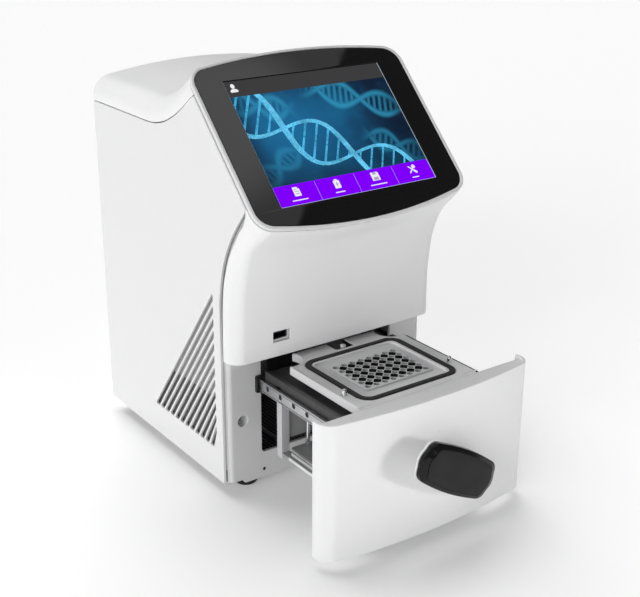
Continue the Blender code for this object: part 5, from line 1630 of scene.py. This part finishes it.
# ===========================================================================
# stage: floor, camera, light
# ===========================================================================
def pale_floor(name):
    mat = Material(name)
    mat.surface({'Base Color': (0.90, 0.90, 0.90), 'Specular IOR Level': 0.0,
                 'Emission Color': (1, 1, 1), 'Emission Strength': 0.18,
                 'Roughness': mat.noise(scale=3.0, over=(0.3, 0.7), to=(0.86, 0.94))})
    return mat.material


floor_shape = bmesh.new()
bmesh.ops.create_grid(floor_shape, x_segments=8, y_segments=8, size=9.0)
floor = add_object("floor", to_mesh(floor_shape, "floor"))
floor.location = (0, 0, -0.0002)
floor.data.materials.append(pale_floor("floor_pale"))

lens_data = bpy.data.cameras.new("camera")
lens_data.lens, lens_data.sensor_width = 65.912, 36.0
lens_data.clip_start, lens_data.clip_end = 0.05, 40.0
camera = add_object("camera", lens_data)
# columns: right, up, backwards, place
camera.matrix_world = Matrix((
    (0.8120054, 0.21020066, -0.54448407, -0.57831),
    (-0.58363457, 0.29919971, -0.75488425, -0.81029),
    (0.00423231, 0.93074981, 0.36563215, 0.55176),
    (0, 0, 0, 1)))
scene.camera = camera


def bearing(azimuth, elevation):
    """Direction in degrees; azimuth 0 is the front, 90 the right, -90 the left."""
    turn, rise = radians(azimuth), radians(elevation)
    return Vector((sin(turn) * cos(rise), -cos(turn) * cos(rise), sin(rise)))


def add_light(name, kind, back, **settings):
    """Light that shines away from the direction back and shows in no reflection."""
    light = bpy.data.lights.new(name, kind)
    for key, value in settings.items():
        setattr(light, key, value)
    made = add_object(name, light)
    made.rotation_mode = 'QUATERNION'
    made.rotation_quaternion = back.to_track_quat('Z', 'Y')
    made.visible_glossy = False
    return made


add_light("overhead", 'SUN', bearing(azimuth=172.0, elevation=60.0), energy=2.35,
          angle=radians(54.0))
add_light("key_left", 'SUN', bearing(azimuth=-82.0, elevation=10.0), energy=0.94,
          angle=radians(34.0))
add_light("fill_left", 'SUN', bearing(azimuth=-58.0, elevation=18.0), energy=0.96,
          angle=radians(26.0))

# soft spot from the front right, low down, aimed at the left half of the drawer front
SPOT_AIM, SPOT_DISTANCE = Vector((-0.085, -0.165, 0.085)), 1.35
spot_place = SPOT_AIM + bearing(azimuth=36.0, elevation=1.0) * SPOT_DISTANCE
spot = add_light("front_spot", 'SPOT', spot_place - SPOT_AIM, energy=42.0,
                 spot_size=radians(19.0), spot_blend=1.0, shadow_soft_size=0.20)
spot.location = spot_place

# World: dim even light for matt surfaces; mirror-like surfaces see a bright patch whose straight
# border shows in the cover glass as one slanting line, a soft glow at the front left, a dark rest.
DARK, PATCH, GLOW, AMBIENT = 0.10, 1.35, 1.8, 0.07
world = bpy.data.worlds.new("world")
scene.world = world
world.use_nodes = True
sky = Graph(world.node_tree, 'Generated')


def face_in_world(across, down):
    return (on_face(across, down) + Vector((0, ROW_Y, 0))) * MM


# the camera's mirror image in the face, and the plane through it and the slanting line
eye = camera.matrix_world.translation
face_normal = (FACE.to_3x3() @ Vector((0, 0, 1))).normalized()
mirror_eye = eye - 2 * (eye - face_in_world(0, 0)).dot(face_normal) * face_normal
line_start = face_in_world(52.0, -79.0) - mirror_eye
line_end = face_in_world(-73.0, 79.0) - mirror_eye
border = line_start.cross(line_end).normalized()
patch_centre = (face_in_world(-100.0, -26.0) - mirror_eye).normalized()
if border.dot(patch_centre) < 0:
    border = -border


def along_direction(direction):
    """Cosine between the view direction and a given one."""
    return sky.put('ShaderNodeVectorMath', {0: sky.coords, 1: direction},
                   operation='DOT_PRODUCT').outputs['Value']


def choose(factor, first, second):
    return sky.put('ShaderNodeMix', {'Factor': factor, 'A': first, 'B': second},
                   data_type='FLOAT').outputs['Result']


patch_side = sky.ramp(along_direction(border), over=(-0.002, 0.002))
patch_core = sky.ramp(along_direction(patch_centre), over=(0.9960, 0.9996), to=(0.42, 1.0),
                      smooth=True)
patch_halo = sky.ramp(along_direction(patch_centre), over=(0.90, 0.975), to=(0.25, 1.0),
                      smooth=True)
patch = sky.times(patch_side, sky.times(patch_core, patch_halo))
glossy = sky.plus(DARK, sky.times(patch, PATCH - DARK))
left_glow = sky.ramp(along_direction(bearing(azimuth=-56.0, elevation=12.0)),
                     over=(0.93, 0.985), to=(0.0, GLOW), smooth=True)
glossy = sky.plus(glossy, left_glow)
rays = sky.put('ShaderNodeLightPath').outputs
strength = choose(rays['Is Camera Ray'], choose(rays['Is Glossy Ray'], AMBIENT, glossy), 1.0)
sky.fill(sky.tree.nodes["Background"], {'Strength': strength, 'Color': (1.0, 1.0, 1.0)})

scene.view_settings.view_transform = 'Standard'
